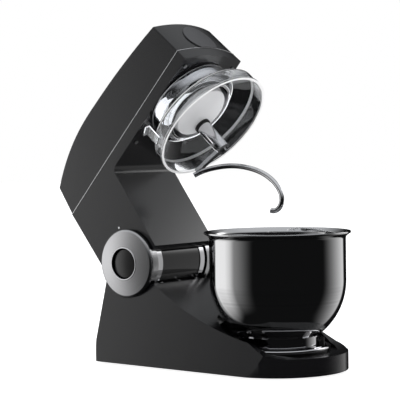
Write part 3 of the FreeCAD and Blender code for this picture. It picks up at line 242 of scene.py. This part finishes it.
# castings and mouldings get softened edges
softEdges = {
    "base_shell": 0.0024, "arm_frame": 0.0014, "head_cover": 0.0016, "bowl_seat": 0.0008, "hub_cap": 0.0004,
    "release_button": 0.0008, "hinge_cap": 0.0006, "drive_collar": 0.0006, "planet_carrier": 0.0006,
    "handle_brackets": 0.0005, "guard_tab": 0.0003, "bayonet_pin": 0.0003,
}
smoothOnly = ["dough_hook", "front_handle", "rear_handle", "hinge_barrel", "barrel_end_rings", "hinge_rings",
              "splash_guard", "bowl_foot", "cable_gland", "shaft_seal", "beater_shaft", "beater_bushes",
              "seam_trim"]
sharpFrom = {"edges": math.radians(24), "flats": math.radians(0.6)}
seam = {"height": 0.145, "reach": 0.0016, "share": 0.2}  # the seam between cover and tray keeps crisp edges
levelHead = (Matrix.Translation(hinge) @ tilt).inverted()


def softened(node, width):
    source = nodes[node]
    mesh = source.data.copy()
    shape = bmesh.new()
    shape.from_mesh(mesh)
    bmesh.ops.remove_doubles(shape, verts=shape.verts, dist=0.00001)
    if width:
        bmesh.ops.dissolve_limit(shape, angle_limit=sharpFrom["flats"], verts=shape.verts, edges=shape.edges)
    weight = shape.edges.layers.float.new("bevel_weight_edge")
    for face in shape.faces:
        face.smooth = True
    for edge in shape.edges:
        if len(edge.link_faces) != 2:
            continue
        sharp = edge.calc_face_angle() > sharpFrom["edges"]
        if not width:
            edge.smooth = not sharp
        elif sharp:
            middle = levelHead @ ((edge.verts[0].co + edge.verts[1].co) / 2)
            nearSeam = bodyOf[node] == "head" and abs(middle.z - seam["height"]) < seam["reach"]
            edge[weight] = seam["share"] if nearSeam else 1.0
    shape.to_mesh(mesh)
    shape.free()
    piece = bpy.data.objects.new(node + "_soft", mesh)
    bpy.context.scene.collection.objects.link(piece)
    mesh.materials.clear()
    mesh.materials.append(finishFor(node))
    if width:
        edge = piece.modifiers.new("edge", "BEVEL")
        edge.width = width
        edge.segments = 3
        edge.limit_method = "WEIGHT"
        edge.use_clamp_overlap = True
    evened = piece.modifiers.new("evened", "WEIGHTED_NORMAL")
    evened.mode = "FACE_AREA_WITH_ANGLE"
    evened.weight = 90
    evened.keep_sharp = True
    made = bpy.data.meshes.new_from_object(piece.evaluated_get(bpy.context.evaluated_depsgraph_get()))
    piece.modifiers.clear()
    piece.data = made
    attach(piece, bodyOf[node])
    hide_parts(node)
    return piece


for node, width in softEdges.items():
    softened(node, width)
eased = {node: softened(node, 0) for node in smoothOnly}

# painted highlight: the flat cut rims and the shoulder band of the clear guard get an opaque white finish that
# stands in for the light they catch along their whole length
guard = eased["splash_guard"].data
guard.materials.append(paintedRimHighlight)
toolAxis = tilt.to_3x3() @ Vector((0, 0, 1))
guardRims = {"lean": 0.9, "narrow": 0.0045, "shoulderTop": -0.0405, "shoulderLow": -0.0455}
for face in guard.polygons:
    heights = [(guard.vertices[i].co - toolCentre).dot(toolAxis) for i in face.vertices]
    onShoulder = min(heights) > guardRims["shoulderLow"] and max(heights) < guardRims["shoulderTop"]
    if abs(face.normal.dot(toolAxis)) > guardRims["lean"]:
        spots = [guard.vertices[i].co - toolCentre for i in face.vertices]
        reach = [(p - toolAxis * p.dot(toolAxis)).length for p in spots]
        face.material_index = int(max(reach) - min(reach) < guardRims["narrow"])
    elif onShoulder:
        face.material_index = 1
print("edges softened")


# turned pieces: a profile spun round its axis
def spinTree():
    tree = bpy.data.node_groups.new("spinProfile", "GeometryNodeTree")
    tree.interface.new_socket("Geometry", in_out="INPUT", socket_type="NodeSocketGeometry")
    around = tree.interface.new_socket("Around", in_out="INPUT", socket_type="NodeSocketInt")
    along = tree.interface.new_socket("Along", in_out="INPUT", socket_type="NodeSocketInt")
    finish = tree.interface.new_socket("Finish", in_out="INPUT", socket_type="NodeSocketMaterial")
    tree.interface.new_socket("Geometry", in_out="OUTPUT", socket_type="NodeSocketGeometry")
    new, link = tree.nodes.new, tree.links.new
    given, out = new("NodeGroupInput"), new("NodeGroupOutput")
    grid = new("GeometryNodeMeshGrid")
    grid.inputs["Size X"].default_value = 1.0
    grid.inputs["Size Y"].default_value = 1.0
    link(given.outputs["Around"], grid.inputs["Vertices X"])
    link(given.outputs["Along"], grid.inputs["Vertices Y"])
    where, apart = new("GeometryNodeInputPosition"), new("ShaderNodeSeparateXYZ")
    link(where.outputs[0], apart.inputs[0])

    def maths(operation, a, b=None):
        node = new("ShaderNodeMath")
        node.operation = operation
        for i, value in enumerate((a, b)):
            if value is None:
                continue
            if isinstance(value, (int, float)):
                node.inputs[i].default_value = value
            else:
                link(value, node.inputs[i])
        return node.outputs[0]

    angle = maths("MULTIPLY", maths("ADD", apart.outputs["X"], 0.5), 2 * math.pi)
    last = maths("SUBTRACT", given.outputs["Along"], 1.0)
    row = maths("ROUND", maths("MULTIPLY", maths("ADD", apart.outputs["Y"], 0.5), last))
    sample = new("GeometryNodeSampleIndex")
    sample.data_type = "FLOAT_VECTOR"
    profilePlace = new("GeometryNodeInputPosition")
    link(given.outputs["Geometry"], sample.inputs["Geometry"])
    link(profilePlace.outputs[0], sample.inputs["Value"])
    link(row, sample.inputs["Index"])
    picked = new("ShaderNodeSeparateXYZ")
    link(sample.outputs["Value"], picked.inputs[0])
    spot = new("ShaderNodeCombineXYZ")
    link(maths("MULTIPLY", picked.outputs["X"], maths("COSINE", angle)), spot.inputs["X"])
    link(maths("MULTIPLY", picked.outputs["X"], maths("SINE", angle)), spot.inputs["Y"])
    link(picked.outputs["Z"], spot.inputs["Z"])
    moved = new("GeometryNodeSetPosition")
    link(grid.outputs["Mesh"], moved.inputs["Geometry"])
    link(spot.outputs[0], moved.inputs["Position"])
    merged = new("GeometryNodeMergeByDistance")
    merged.inputs["Distance"].default_value = 0.000004
    link(moved.outputs[0], merged.inputs["Geometry"])
    real = new("GeometryNodeRealizeInstances")
    link(merged.outputs[0], real.inputs[0])
    coated = new("GeometryNodeSetMaterial")
    link(real.outputs[0], coated.inputs["Geometry"])
    link(given.outputs["Finish"], coated.inputs["Material"])
    link(coated.outputs[0], out.inputs[0])
    return tree, around.identifier, along.identifier, finish.identifier


spin, aroundId, alongId, finishId = spinTree()


def rounded(corners, step=0.0004):
    points = []
    count = len(corners)
    for i, corner in enumerate(corners):
        here = Vector(corner[:2])
        radius = corner[2] if len(corner) > 2 else 0
        if not radius:
            points.append(here)
            continue
        before, after = Vector(corners[i - 1][:2]), Vector(corners[(i + 1) % count][:2])
        a, b = (before - here).normalized(), (after - here).normalized()
        half = a.angle(b) / 2
        setback = radius / math.tan(half)
        start, end = here + a * setback, here + b * setback
        middle = here + (a + b).normalized() * (radius / math.sin(half))
        turnStart, turnEnd = start - middle, end - middle
        sweep = turnStart.angle(turnEnd)
        sign = 1 if turnStart.x * turnEnd.y - turnStart.y * turnEnd.x > 0 else -1
        pieces = max(3, int(sweep / math.radians(12)))
        for k in range(pieces + 1):
            turn = sign * sweep * k / pieces
            points.append(middle + Vector((turnStart.x * math.cos(turn) - turnStart.y * math.sin(turn),
                                           turnStart.x * math.sin(turn) + turnStart.y * math.cos(turn))))
    return points


def spun(label, profile, place, finish, body, stands, around=193, closed=True):
    points = list(profile) + ([profile[0]] if closed else [])
    mesh = bpy.data.meshes.new(label)
    mesh.from_pydata([(p[0], 0, p[1]) for p in points], [(i, i + 1) for i in range(len(points) - 1)], [])
    piece = bpy.data.objects.new(label, mesh)
    bpy.context.scene.collection.objects.link(piece)
    turning = piece.modifiers.new("spin", "NODES")
    turning.node_group = spin
    turning[aroundId] = around
    turning[alongId] = len(points)
    turning[finishId] = finish
    made = bpy.data.meshes.new_from_object(piece.evaluated_get(bpy.context.evaluated_depsgraph_get()))
    piece.modifiers.clear()
    shape = bmesh.new()
    shape.from_mesh(made)
    bmesh.ops.remove_doubles(shape, verts=shape.verts, dist=0.000002)
    bmesh.ops.recalc_face_normals(shape, faces=shape.faces)
    for face in shape.faces:
        face.smooth = True
    shape.to_mesh(made)
    shape.free()
    made.transform(place)
    piece.data = made
    markSharp(made)
    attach(piece, body)
    if stands:
        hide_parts(*stands)
    return piece


def markSharp(mesh, angle=35):
    shape = bmesh.new()
    shape.from_mesh(mesh)
    for edge in shape.edges:
        edge.smooth = not (len(edge.link_faces) == 2 and edge.calc_face_angle() > math.radians(angle))
    shape.to_mesh(mesh)
    shape.free()


def arcPoints(centre, radius, start, end, count):
    return [Vector((centre[0] + radius * math.cos(math.radians(start + (end - start) * k / count)),
                    centre[1] + radius * math.sin(math.radians(start + (end - start) * k / count))))
            for k in range(count + 1)]


bowlShape = {"wall": 0.0012, "belly": 0.1405, "radius": 0.105, "rim": 0.215, "reach": 0.008, "flat": 0.032,
             "flareDrop": 0.0078, "flareCurve": 0.006, "lipThick": 0.0026, "lipCurve": 0.0008}


def bowlProfile():
    s = bowlShape
    belly = (0, s["belly"])
    lowest = -math.degrees(math.acos(s["flat"] / s["radius"]))
    outside = arcPoints(belly, s["radius"], lowest, 0, 60)
    inner = s["radius"] - s["wall"]
    lowestIn = -math.degrees(math.acos(s["flat"] / inner))
    inside = arcPoints(belly, inner, 0, lowestIn, 60)
    tip = s["radius"] + s["reach"] - 0.0001
    lip = rounded([(s["radius"], s["belly"] + 0.001), (s["radius"], s["rim"] - s["flareDrop"], s["flareCurve"]),
                   (tip, s["rim"] - s["lipThick"], 0.0009), (tip - 0.0001, s["rim"], s["lipCurve"]),
                   (tip - 0.0023, s["rim"], s["lipCurve"]),
                   (inner, s["rim"] - s["flareDrop"] + 0.001, s["flareCurve"]), (inner, s["belly"] + 0.001)])
    return [Vector((0, outside[0].y))] + outside + lip + inside + [Vector((0, inside[-1].y))]


bowlPlace = Matrix.Translation((bowlCentre.x, 0, 0))
bowl = spun("bowl_turned", bowlProfile(), bowlPlace, bowlSteel, "bowl", ["bowl"], 257, False)
bowl.data.materials.append(bowlInside)  # the inside is brushed, not polished
middleWall = bowlShape["radius"] - bowlShape["wall"] / 2
for face in bowl.data.polygons:
    outwards = Vector((face.center.x - bowlCentre.x, face.center.y, 0))
    if outwards.length < middleWall and (face.normal.dot(outwards) < 0 or face.normal.z > 0.3):
        face.material_index = 1

# dial: shallow cone, thin bright ring and a sunk badge
lowDial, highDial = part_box("dial_face")
dialSize = {"radius": (highDial.z - lowDial.z) / 2, "depth": highDial.y - lowDial.y, "badge": 0.0245}
dialPlace = Matrix.Translation((hinge.x, highDial.y, hinge.z)) @ Matrix.Rotation(math.radians(90), 4, "X")
d = dialSize
spun("dial_face_turned", rounded([
    (d["badge"] - 0.006, 0), (d["radius"] - 0.0005, 0, 0.0004), (d["radius"], 0.0012, 0.0006),
    (d["radius"], 0.0062, 0.0016), (d["radius"] - 0.0026, 0.0084, 0.002),
    (d["badge"] + 0.002, d["depth"], 0.0003), (d["badge"] + 0.002, d["depth"] - 0.003),
    (d["badge"] - 0.006, d["depth"] - 0.003)]), dialPlace, dialMetal, "dial", ["dial_face"])
spun("dial_ring_turned", rounded([
    (d["badge"], d["depth"] - 0.003), (d["badge"] + 0.002, d["depth"] - 0.003),
    (d["badge"] + 0.002, d["depth"] + 0.0006, 0.0008), (d["badge"], d["depth"] + 0.0006, 0.0008)]),
    dialPlace, chrome, "dial", ["dial_ring"])
spun("dial_badge_turned", [
    Vector((0, d["depth"] - 0.003)), Vector((d["badge"], d["depth"] - 0.003)),
    *arcPoints((0, d["depth"] - 0.1005), 0.1, math.degrees(math.acos(d["badge"] / 0.1)), 90, 12)],
    dialPlace, badgeBlack, "dial", ["dial_badge"], closed=False)
print("turned pieces made")


# screws and feet: one turned head set on every place
def repeatTree():
    tree = bpy.data.node_groups.new("setOnPlaces", "GeometryNodeTree")
    tree.interface.new_socket("Geometry", in_out="INPUT", socket_type="NodeSocketGeometry")
    part = tree.interface.new_socket("Part", in_out="INPUT", socket_type="NodeSocketObject")
    turn = tree.interface.new_socket("Turn", in_out="INPUT", socket_type="NodeSocketFloat")
    finish = tree.interface.new_socket("Finish", in_out="INPUT", socket_type="NodeSocketMaterial")
    seed = tree.interface.new_socket("Seed", in_out="INPUT", socket_type="NodeSocketInt")
    tree.interface.new_socket("Geometry", in_out="OUTPUT", socket_type="NodeSocketGeometry")
    new, link = tree.nodes.new, tree.links.new
    given, out = new("NodeGroupInput"), new("NodeGroupOutput")
    single = new("GeometryNodeObjectInfo")
    link(given.outputs["Part"], single.inputs["Object"])
    chance = new("FunctionNodeRandomValue")
    chance.data_type = "FLOAT"
    chance.inputs[2].default_value = 0.0
    link(given.outputs["Turn"], chance.inputs[3])
    link(given.outputs["Seed"], chance.inputs["Seed"])
    spinBy = new("ShaderNodeCombineXYZ")
    link(chance.outputs[1], spinBy.inputs["Z"])
    placed = new("GeometryNodeInstanceOnPoints")
    link(given.outputs["Geometry"], placed.inputs["Points"])
    link(single.outputs["Geometry"], placed.inputs["Instance"])
    turned = new("FunctionNodeEulerToRotation")
    link(spinBy.outputs[0], turned.inputs[0])
    link(turned.outputs[0], placed.inputs["Rotation"])
    real = new("GeometryNodeRealizeInstances")
    link(placed.outputs[0], real.inputs[0])
    coated = new("GeometryNodeSetMaterial")
    link(real.outputs[0], coated.inputs["Geometry"])
    link(given.outputs["Finish"], coated.inputs["Material"])
    link(coated.outputs[0], out.inputs[0])
    sockets = {"part": part, "turn": turn, "finish": finish, "seed": seed}
    return tree, {name: socket.identifier for name, socket in sockets.items()}


repeat, repeatId = repeatTree()


def islands(node):
    shape = bmesh.new()
    shape.from_mesh(nodes[node].data)
    bmesh.ops.remove_doubles(shape, verts=shape.verts, dist=0.00001)
    left, found = set(shape.verts), []
    while left:
        edge, group = [left.pop()], []
        while edge:
            here = edge.pop()
            group.append(here.co.copy())
            for link in here.link_edges:
                other = link.other_vert(here)
                if other in left:
                    left.remove(other)
                    edge.append(other)
        low = Vector([min(p[i] for p in group) for i in range(3)])
        high = Vector([max(p[i] for p in group) for i in range(3)])
        found.append((low, high))
    shape.free()
    return sorted(found, key=lambda box: (round(box[0].x, 4), box[0].y))


tiny = 0.000001


# a profile turned round the upright axis, with a hexagon socket where one is given
def turnedPart(profile, socket=None, around=48):
    shape = bmesh.new()
    rings = []
    for reach, height in profile:
        if reach < tiny:
            rings.append([shape.verts.new((0, 0, height))])
            continue
        ring = []
        for k in range(around):
            angle = 2 * math.pi * k / around
            fit = 1.0
            if socket and height > socket["floor"] - tiny and reach <= socket["reach"] + tiny:
                flat = (angle % (math.pi / 3)) - math.pi / 6
                fit = math.cos(math.pi / 6) / math.cos(flat)
            out = reach * fit
            ring.append(shape.verts.new((out * math.cos(angle), out * math.sin(angle), height)))
        rings.append(ring)
    for a, b in zip(rings, rings[1:]):
        for k in range(around):
            n = (k + 1) % around
            corners = [a[k % len(a)], a[n % len(a)], b[n % len(b)], b[k % len(b)]]
            corners = list(dict.fromkeys(corners))
            if len(corners) > 2:
                shape.faces.new(corners)
    bmesh.ops.recalc_face_normals(shape, faces=shape.faces)
    for face in shape.faces:
        face.smooth = True
    mesh = bpy.data.meshes.new("part")
    shape.to_mesh(mesh)
    shape.free()
    markSharp(mesh, 30)
    return bpy.data.objects.new("part", mesh)


def setOn(label, node, part, finish, places, turn=0.0, seed=3):
    mesh = bpy.data.meshes.new(label)
    mesh.from_pydata(places, [], [])
    piece = bpy.data.objects.new(label, mesh)
    bpy.context.scene.collection.objects.link(piece)
    bpy.context.scene.collection.objects.link(part)
    setting = piece.modifiers.new("repeat", "NODES")
    setting.node_group = repeat
    setting[repeatId["part"]] = part
    setting[repeatId["turn"]] = turn
    setting[repeatId["finish"]] = finish
    setting[repeatId["seed"]] = seed
    made = bpy.data.meshes.new_from_object(piece.evaluated_get(bpy.context.evaluated_depsgraph_get()))
    piece.modifiers.clear()
    piece.data = made
    bpy.data.objects.remove(part)
    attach(piece, bodyOf[node])
    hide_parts(node)
    return piece


screwHead = {"socket": 0.55, "floor": 0.0009, "crown": 0.0005, "edge": 0.0003, "thick": 0.0008, "neck": 0.0004}


def screwProfile(low, top, head, shank):
    rim = top - screwHead["crown"]
    bite = head * screwHead["socket"]
    under, floor = rim - screwHead["thick"], top - screwHead["floor"]
    profile = [(0, low), (shank, low), (shank, under), (head, under), (head, rim - screwHead["edge"]),
               (head - screwHead["edge"], rim), (bite + 0.0002, top), (bite, top - 0.0001),
               (bite, floor), (0, floor)]
    return profile, {"floor": floor, "reach": bite}


screwSpots = islands("barrel_screws")
low, high = screwSpots[0]
headReach = (high.x - low.x) / 2
profile, socket = screwProfile(low.z, high.z, headReach, headReach - screwHead["neck"])
setOn("barrelScrewHeads", "barrel_screws", turnedPart(profile, socket), chrome,
      [((a.x + b.x) / 2, (a.y + b.y) / 2, 0) for a, b in screwSpots], math.pi / 3)

footSpots = islands("rubber_feet")
low, high = footSpots[0]
foot = {"reach": (high.x - low.x) / 2, "pad": 0.004, "tread": 0.0006, "stem": 0.0048, "lip": 0.0065,
        "lipLow": 0.006}
grips = []
for k in range(3):
    start = foot["reach"] * (0.3 + 0.2 * k)
    grips += [(start, low.z), (start + 0.0004, low.z + foot["tread"]),
              (start + 0.0011, low.z + foot["tread"]), (start + 0.0015, low.z)]
setOn("gripFeet", "rubber_feet", turnedPart(
    [(0, low.z + foot["tread"]), (0.0022, low.z + foot["tread"]), (0.0026, low.z)] + grips +
    [(foot["reach"] - 0.0008, low.z), (foot["reach"], low.z + 0.0008),
     (foot["reach"], low.z + foot["pad"] - 0.0005), (foot["reach"] - 0.0005, low.z + foot["pad"]),
     (foot["stem"], low.z + foot["pad"]),
     (foot["stem"], foot["lipLow"]), (foot["lip"], foot["lipLow"]), (foot["lip"] - 0.0008, high.z - 0.0004),
     (foot["lip"] - 0.0012, high.z), (0, high.z)]), rubber,
      [((a.x + b.x) / 2, (a.y + b.y) / 2, 0) for a, b in footSpots])
print("screws and feet set")


# light, floor and camera
studio = {
    "left": {"turn": -107, "width": 2.1, "height": 4.6, "distance": 1.7, "middle": 0.2, "glow": 1.3,
             "near": 0.4, "far": 0.25, "ends": 0.5},
    "leftFill": {"turn": -68, "width": 1.9, "height": 4.4, "distance": 1.75, "middle": 0.2, "glow": 0.4,
                 "near": 0.85, "far": 0.3, "ends": 0.5},
    "right": {"turn": 106, "width": 2.1, "height": 4.6, "distance": 1.7, "middle": 0.2, "glow": 0.95,
              "near": 1.0, "far": 0.12, "ends": 0.5},
    "back": {"turn": 123, "width": 1.1, "height": 1.0, "distance": 1.45, "middle": 0.92, "glow": 3.6,
             "near": 0.5, "far": 0.5, "ends": 0.5},
}
viewTurn = 39.48
aim = Vector((0.04, 0, 0.26))


# a light panel that fades out towards its edges, named by its place round the object
def softPanel(name, direction, size):
    wide, high = size["width"] / 2, size["height"] / 2
    mesh = bpy.data.meshes.new(name)
    middle = Vector((aim.x, aim.y, size["middle"])) + direction * size["distance"]
    side = direction.cross(Vector((0, 0, 1))).normalized()
    rise = Vector((0, 0, high))
    corners = [middle + side * (x * wide) + rise * z for x, z in ((-1, -1), (1, -1), (1, 1), (-1, 1))]
    mesh.from_pydata(corners, [], [(0, 1, 2, 3)])
    mesh.uv_layers.new(name="panel")
    for loop, uv in zip(mesh.uv_layers[0].data, ((0, 0), (1, 0), (1, 1), (0, 1))):
        loop.uv = uv
    glow = bpy.data.materials.new(name)
    glow.use_nodes = True
    tree = glow.node_tree
    tree.nodes.clear()
    place = addNode(tree, "ShaderNodeUVMap", uv_map="panel")
    apart = addNode(tree, "ShaderNodeSeparateXYZ")
    tree.links.new(place.outputs[0], apart.inputs[0])
    first, last = (size["near"], size["far"]) if size["turn"] < 0 else (size["far"], size["near"])
    share = None
    for axis, start, end in (("X", 0.0, first), ("X", 1.0, 1.0 - last), ("Y", 0.0, size["ends"]),
                             ("Y", 1.0, 1.0 - size["ends"])):
        ramp = addNode(tree, "ShaderNodeMapRange", interpolation_type="SMOOTHSTEP")
        ramp.inputs["From Min"].default_value = start
        ramp.inputs["From Max"].default_value = end
        tree.links.new(apart.outputs[axis], ramp.inputs["Value"])
        both = addNode(tree, "ShaderNodeMath", operation="MULTIPLY")
        tree.links.new(ramp.outputs["Result"], both.inputs[0])
        if share:
            tree.links.new(share, both.inputs[1])
        else:
            both.inputs[1].default_value = size["glow"]
        share = both.outputs[0]
    light = addNode(tree, "ShaderNodeEmission")
    tree.links.new(share, light.inputs["Strength"])
    out = addNode(tree, "ShaderNodeOutputMaterial")
    through = addNode(tree, "ShaderNodeBsdfTransparent")
    added = addNode(tree, "ShaderNodeAddShader")
    tree.links.new(light.outputs[0], added.inputs[0])
    tree.links.new(through.outputs[0], added.inputs[1])
    tree.links.new(added.outputs[0], out.inputs["Surface"])
    mesh.materials.append(glow)
    panel = bpy.data.objects.new(name, mesh)
    panel.visible_camera = False
    panel.visible_transmission = False
    bpy.context.scene.collection.objects.link(panel)


for name in studio:
    turn = math.radians(viewTurn + studio[name]["turn"])
    softPanel(name + "Panel", Vector((math.sin(turn), -math.cos(turn), 0)), studio[name])

world = bpy.data.worlds.new("studioAir")
bpy.context.scene.world = world
world.use_nodes = True
air = world.node_tree
seen = addNode(air, "ShaderNodeLightPath")
dim = air.nodes["Background"]
pale = addNode(air, "ShaderNodeBackground")
pick = addNode(air, "ShaderNodeMixShader")
skyPlace = addNode(air, "ShaderNodeTexCoord")
skyParts = addNode(air, "ShaderNodeSeparateXYZ")
skyRise = addNode(air, "ShaderNodeMapRange", interpolation_type="SMOOTHSTEP")
skyRise.inputs["From Min"].default_value = 0.25
skyRise.inputs["From Max"].default_value = 0.95
skyRise.inputs["To Min"].default_value = 0.008
skyRise.inputs["To Max"].default_value = 0.75
air.links.new(skyPlace.outputs["Generated"], skyParts.inputs[0])
air.links.new(skyParts.outputs["Z"], skyRise.inputs["Value"])
air.links.new(skyRise.outputs["Result"], dim.inputs["Strength"])
dim.inputs["Color"].default_value = (0.95, 0.97, 1, 1)
pale.inputs["Color"].default_value = (1, 1, 1, 1)
pale.inputs["Strength"].default_value = 1.0
air.links.new(seen.outputs["Is Camera Ray"], pick.inputs["Fac"])
air.links.new(dim.outputs[0], pick.inputs[1])
air.links.new(pale.outputs[0], pick.inputs[2])
air.links.new(pick.outputs[0], air.nodes["World Output"].inputs["Surface"])

floorMesh = bpy.data.meshes.new("floor")
floorMesh.from_pydata([(-9, -9, 0), (9, -9, 0), (9, 9, 0), (-9, 9, 0)], [], [(0, 1, 2, 3)])
floor = bpy.data.objects.new("floor", floorMesh)
bpy.context.scene.collection.objects.link(floor)
floorFinish, floorTree, floorShader = newFinish("paleFloor", (0.9, 0.9, 0.9), 0.0, 0.9)
floorShader.inputs["Specular IOR Level"].default_value = 0.0
floorShader.inputs["Emission Color"].default_value = (1, 1, 1, 1)
floorShader.inputs["Emission Strength"].default_value = 0.95
floorMesh.materials.append(floorFinish)
floor.visible_glossy = False

view = {"lens": 135.0, "distance": 2.3, "height": 0.3495, "turn": 36.5, "aimTurn": viewTurn, "down": 2.12,
        "roll": 0.85, "forward": 0.0025}
cameraData = bpy.data.cameras.new("camera")
cameraData.lens = view["lens"]
cameraData.sensor_width = 36.0
camera = bpy.data.objects.new("camera", cameraData)
stand = math.radians(view["turn"])
camera.location = (bowlCentre.x + view["forward"] + view["distance"] * math.sin(stand),
                   -view["distance"] * math.cos(stand), view["height"])
look = math.radians(view["aimTurn"])
down = math.radians(view["down"])
sight = Vector((-math.sin(look) * math.cos(down), math.cos(look) * math.cos(down), -math.sin(down)))
level = sight.to_track_quat("-Z", "Y").to_matrix()
camera.rotation_euler = (level @ Matrix.Rotation(math.radians(-view["roll"]), 3, "Z")).to_euler()
bpy.context.scene.collection.objects.link(camera)
bpy.context.scene.camera = camera
bpy.context.scene.view_settings.view_transform = "Standard"
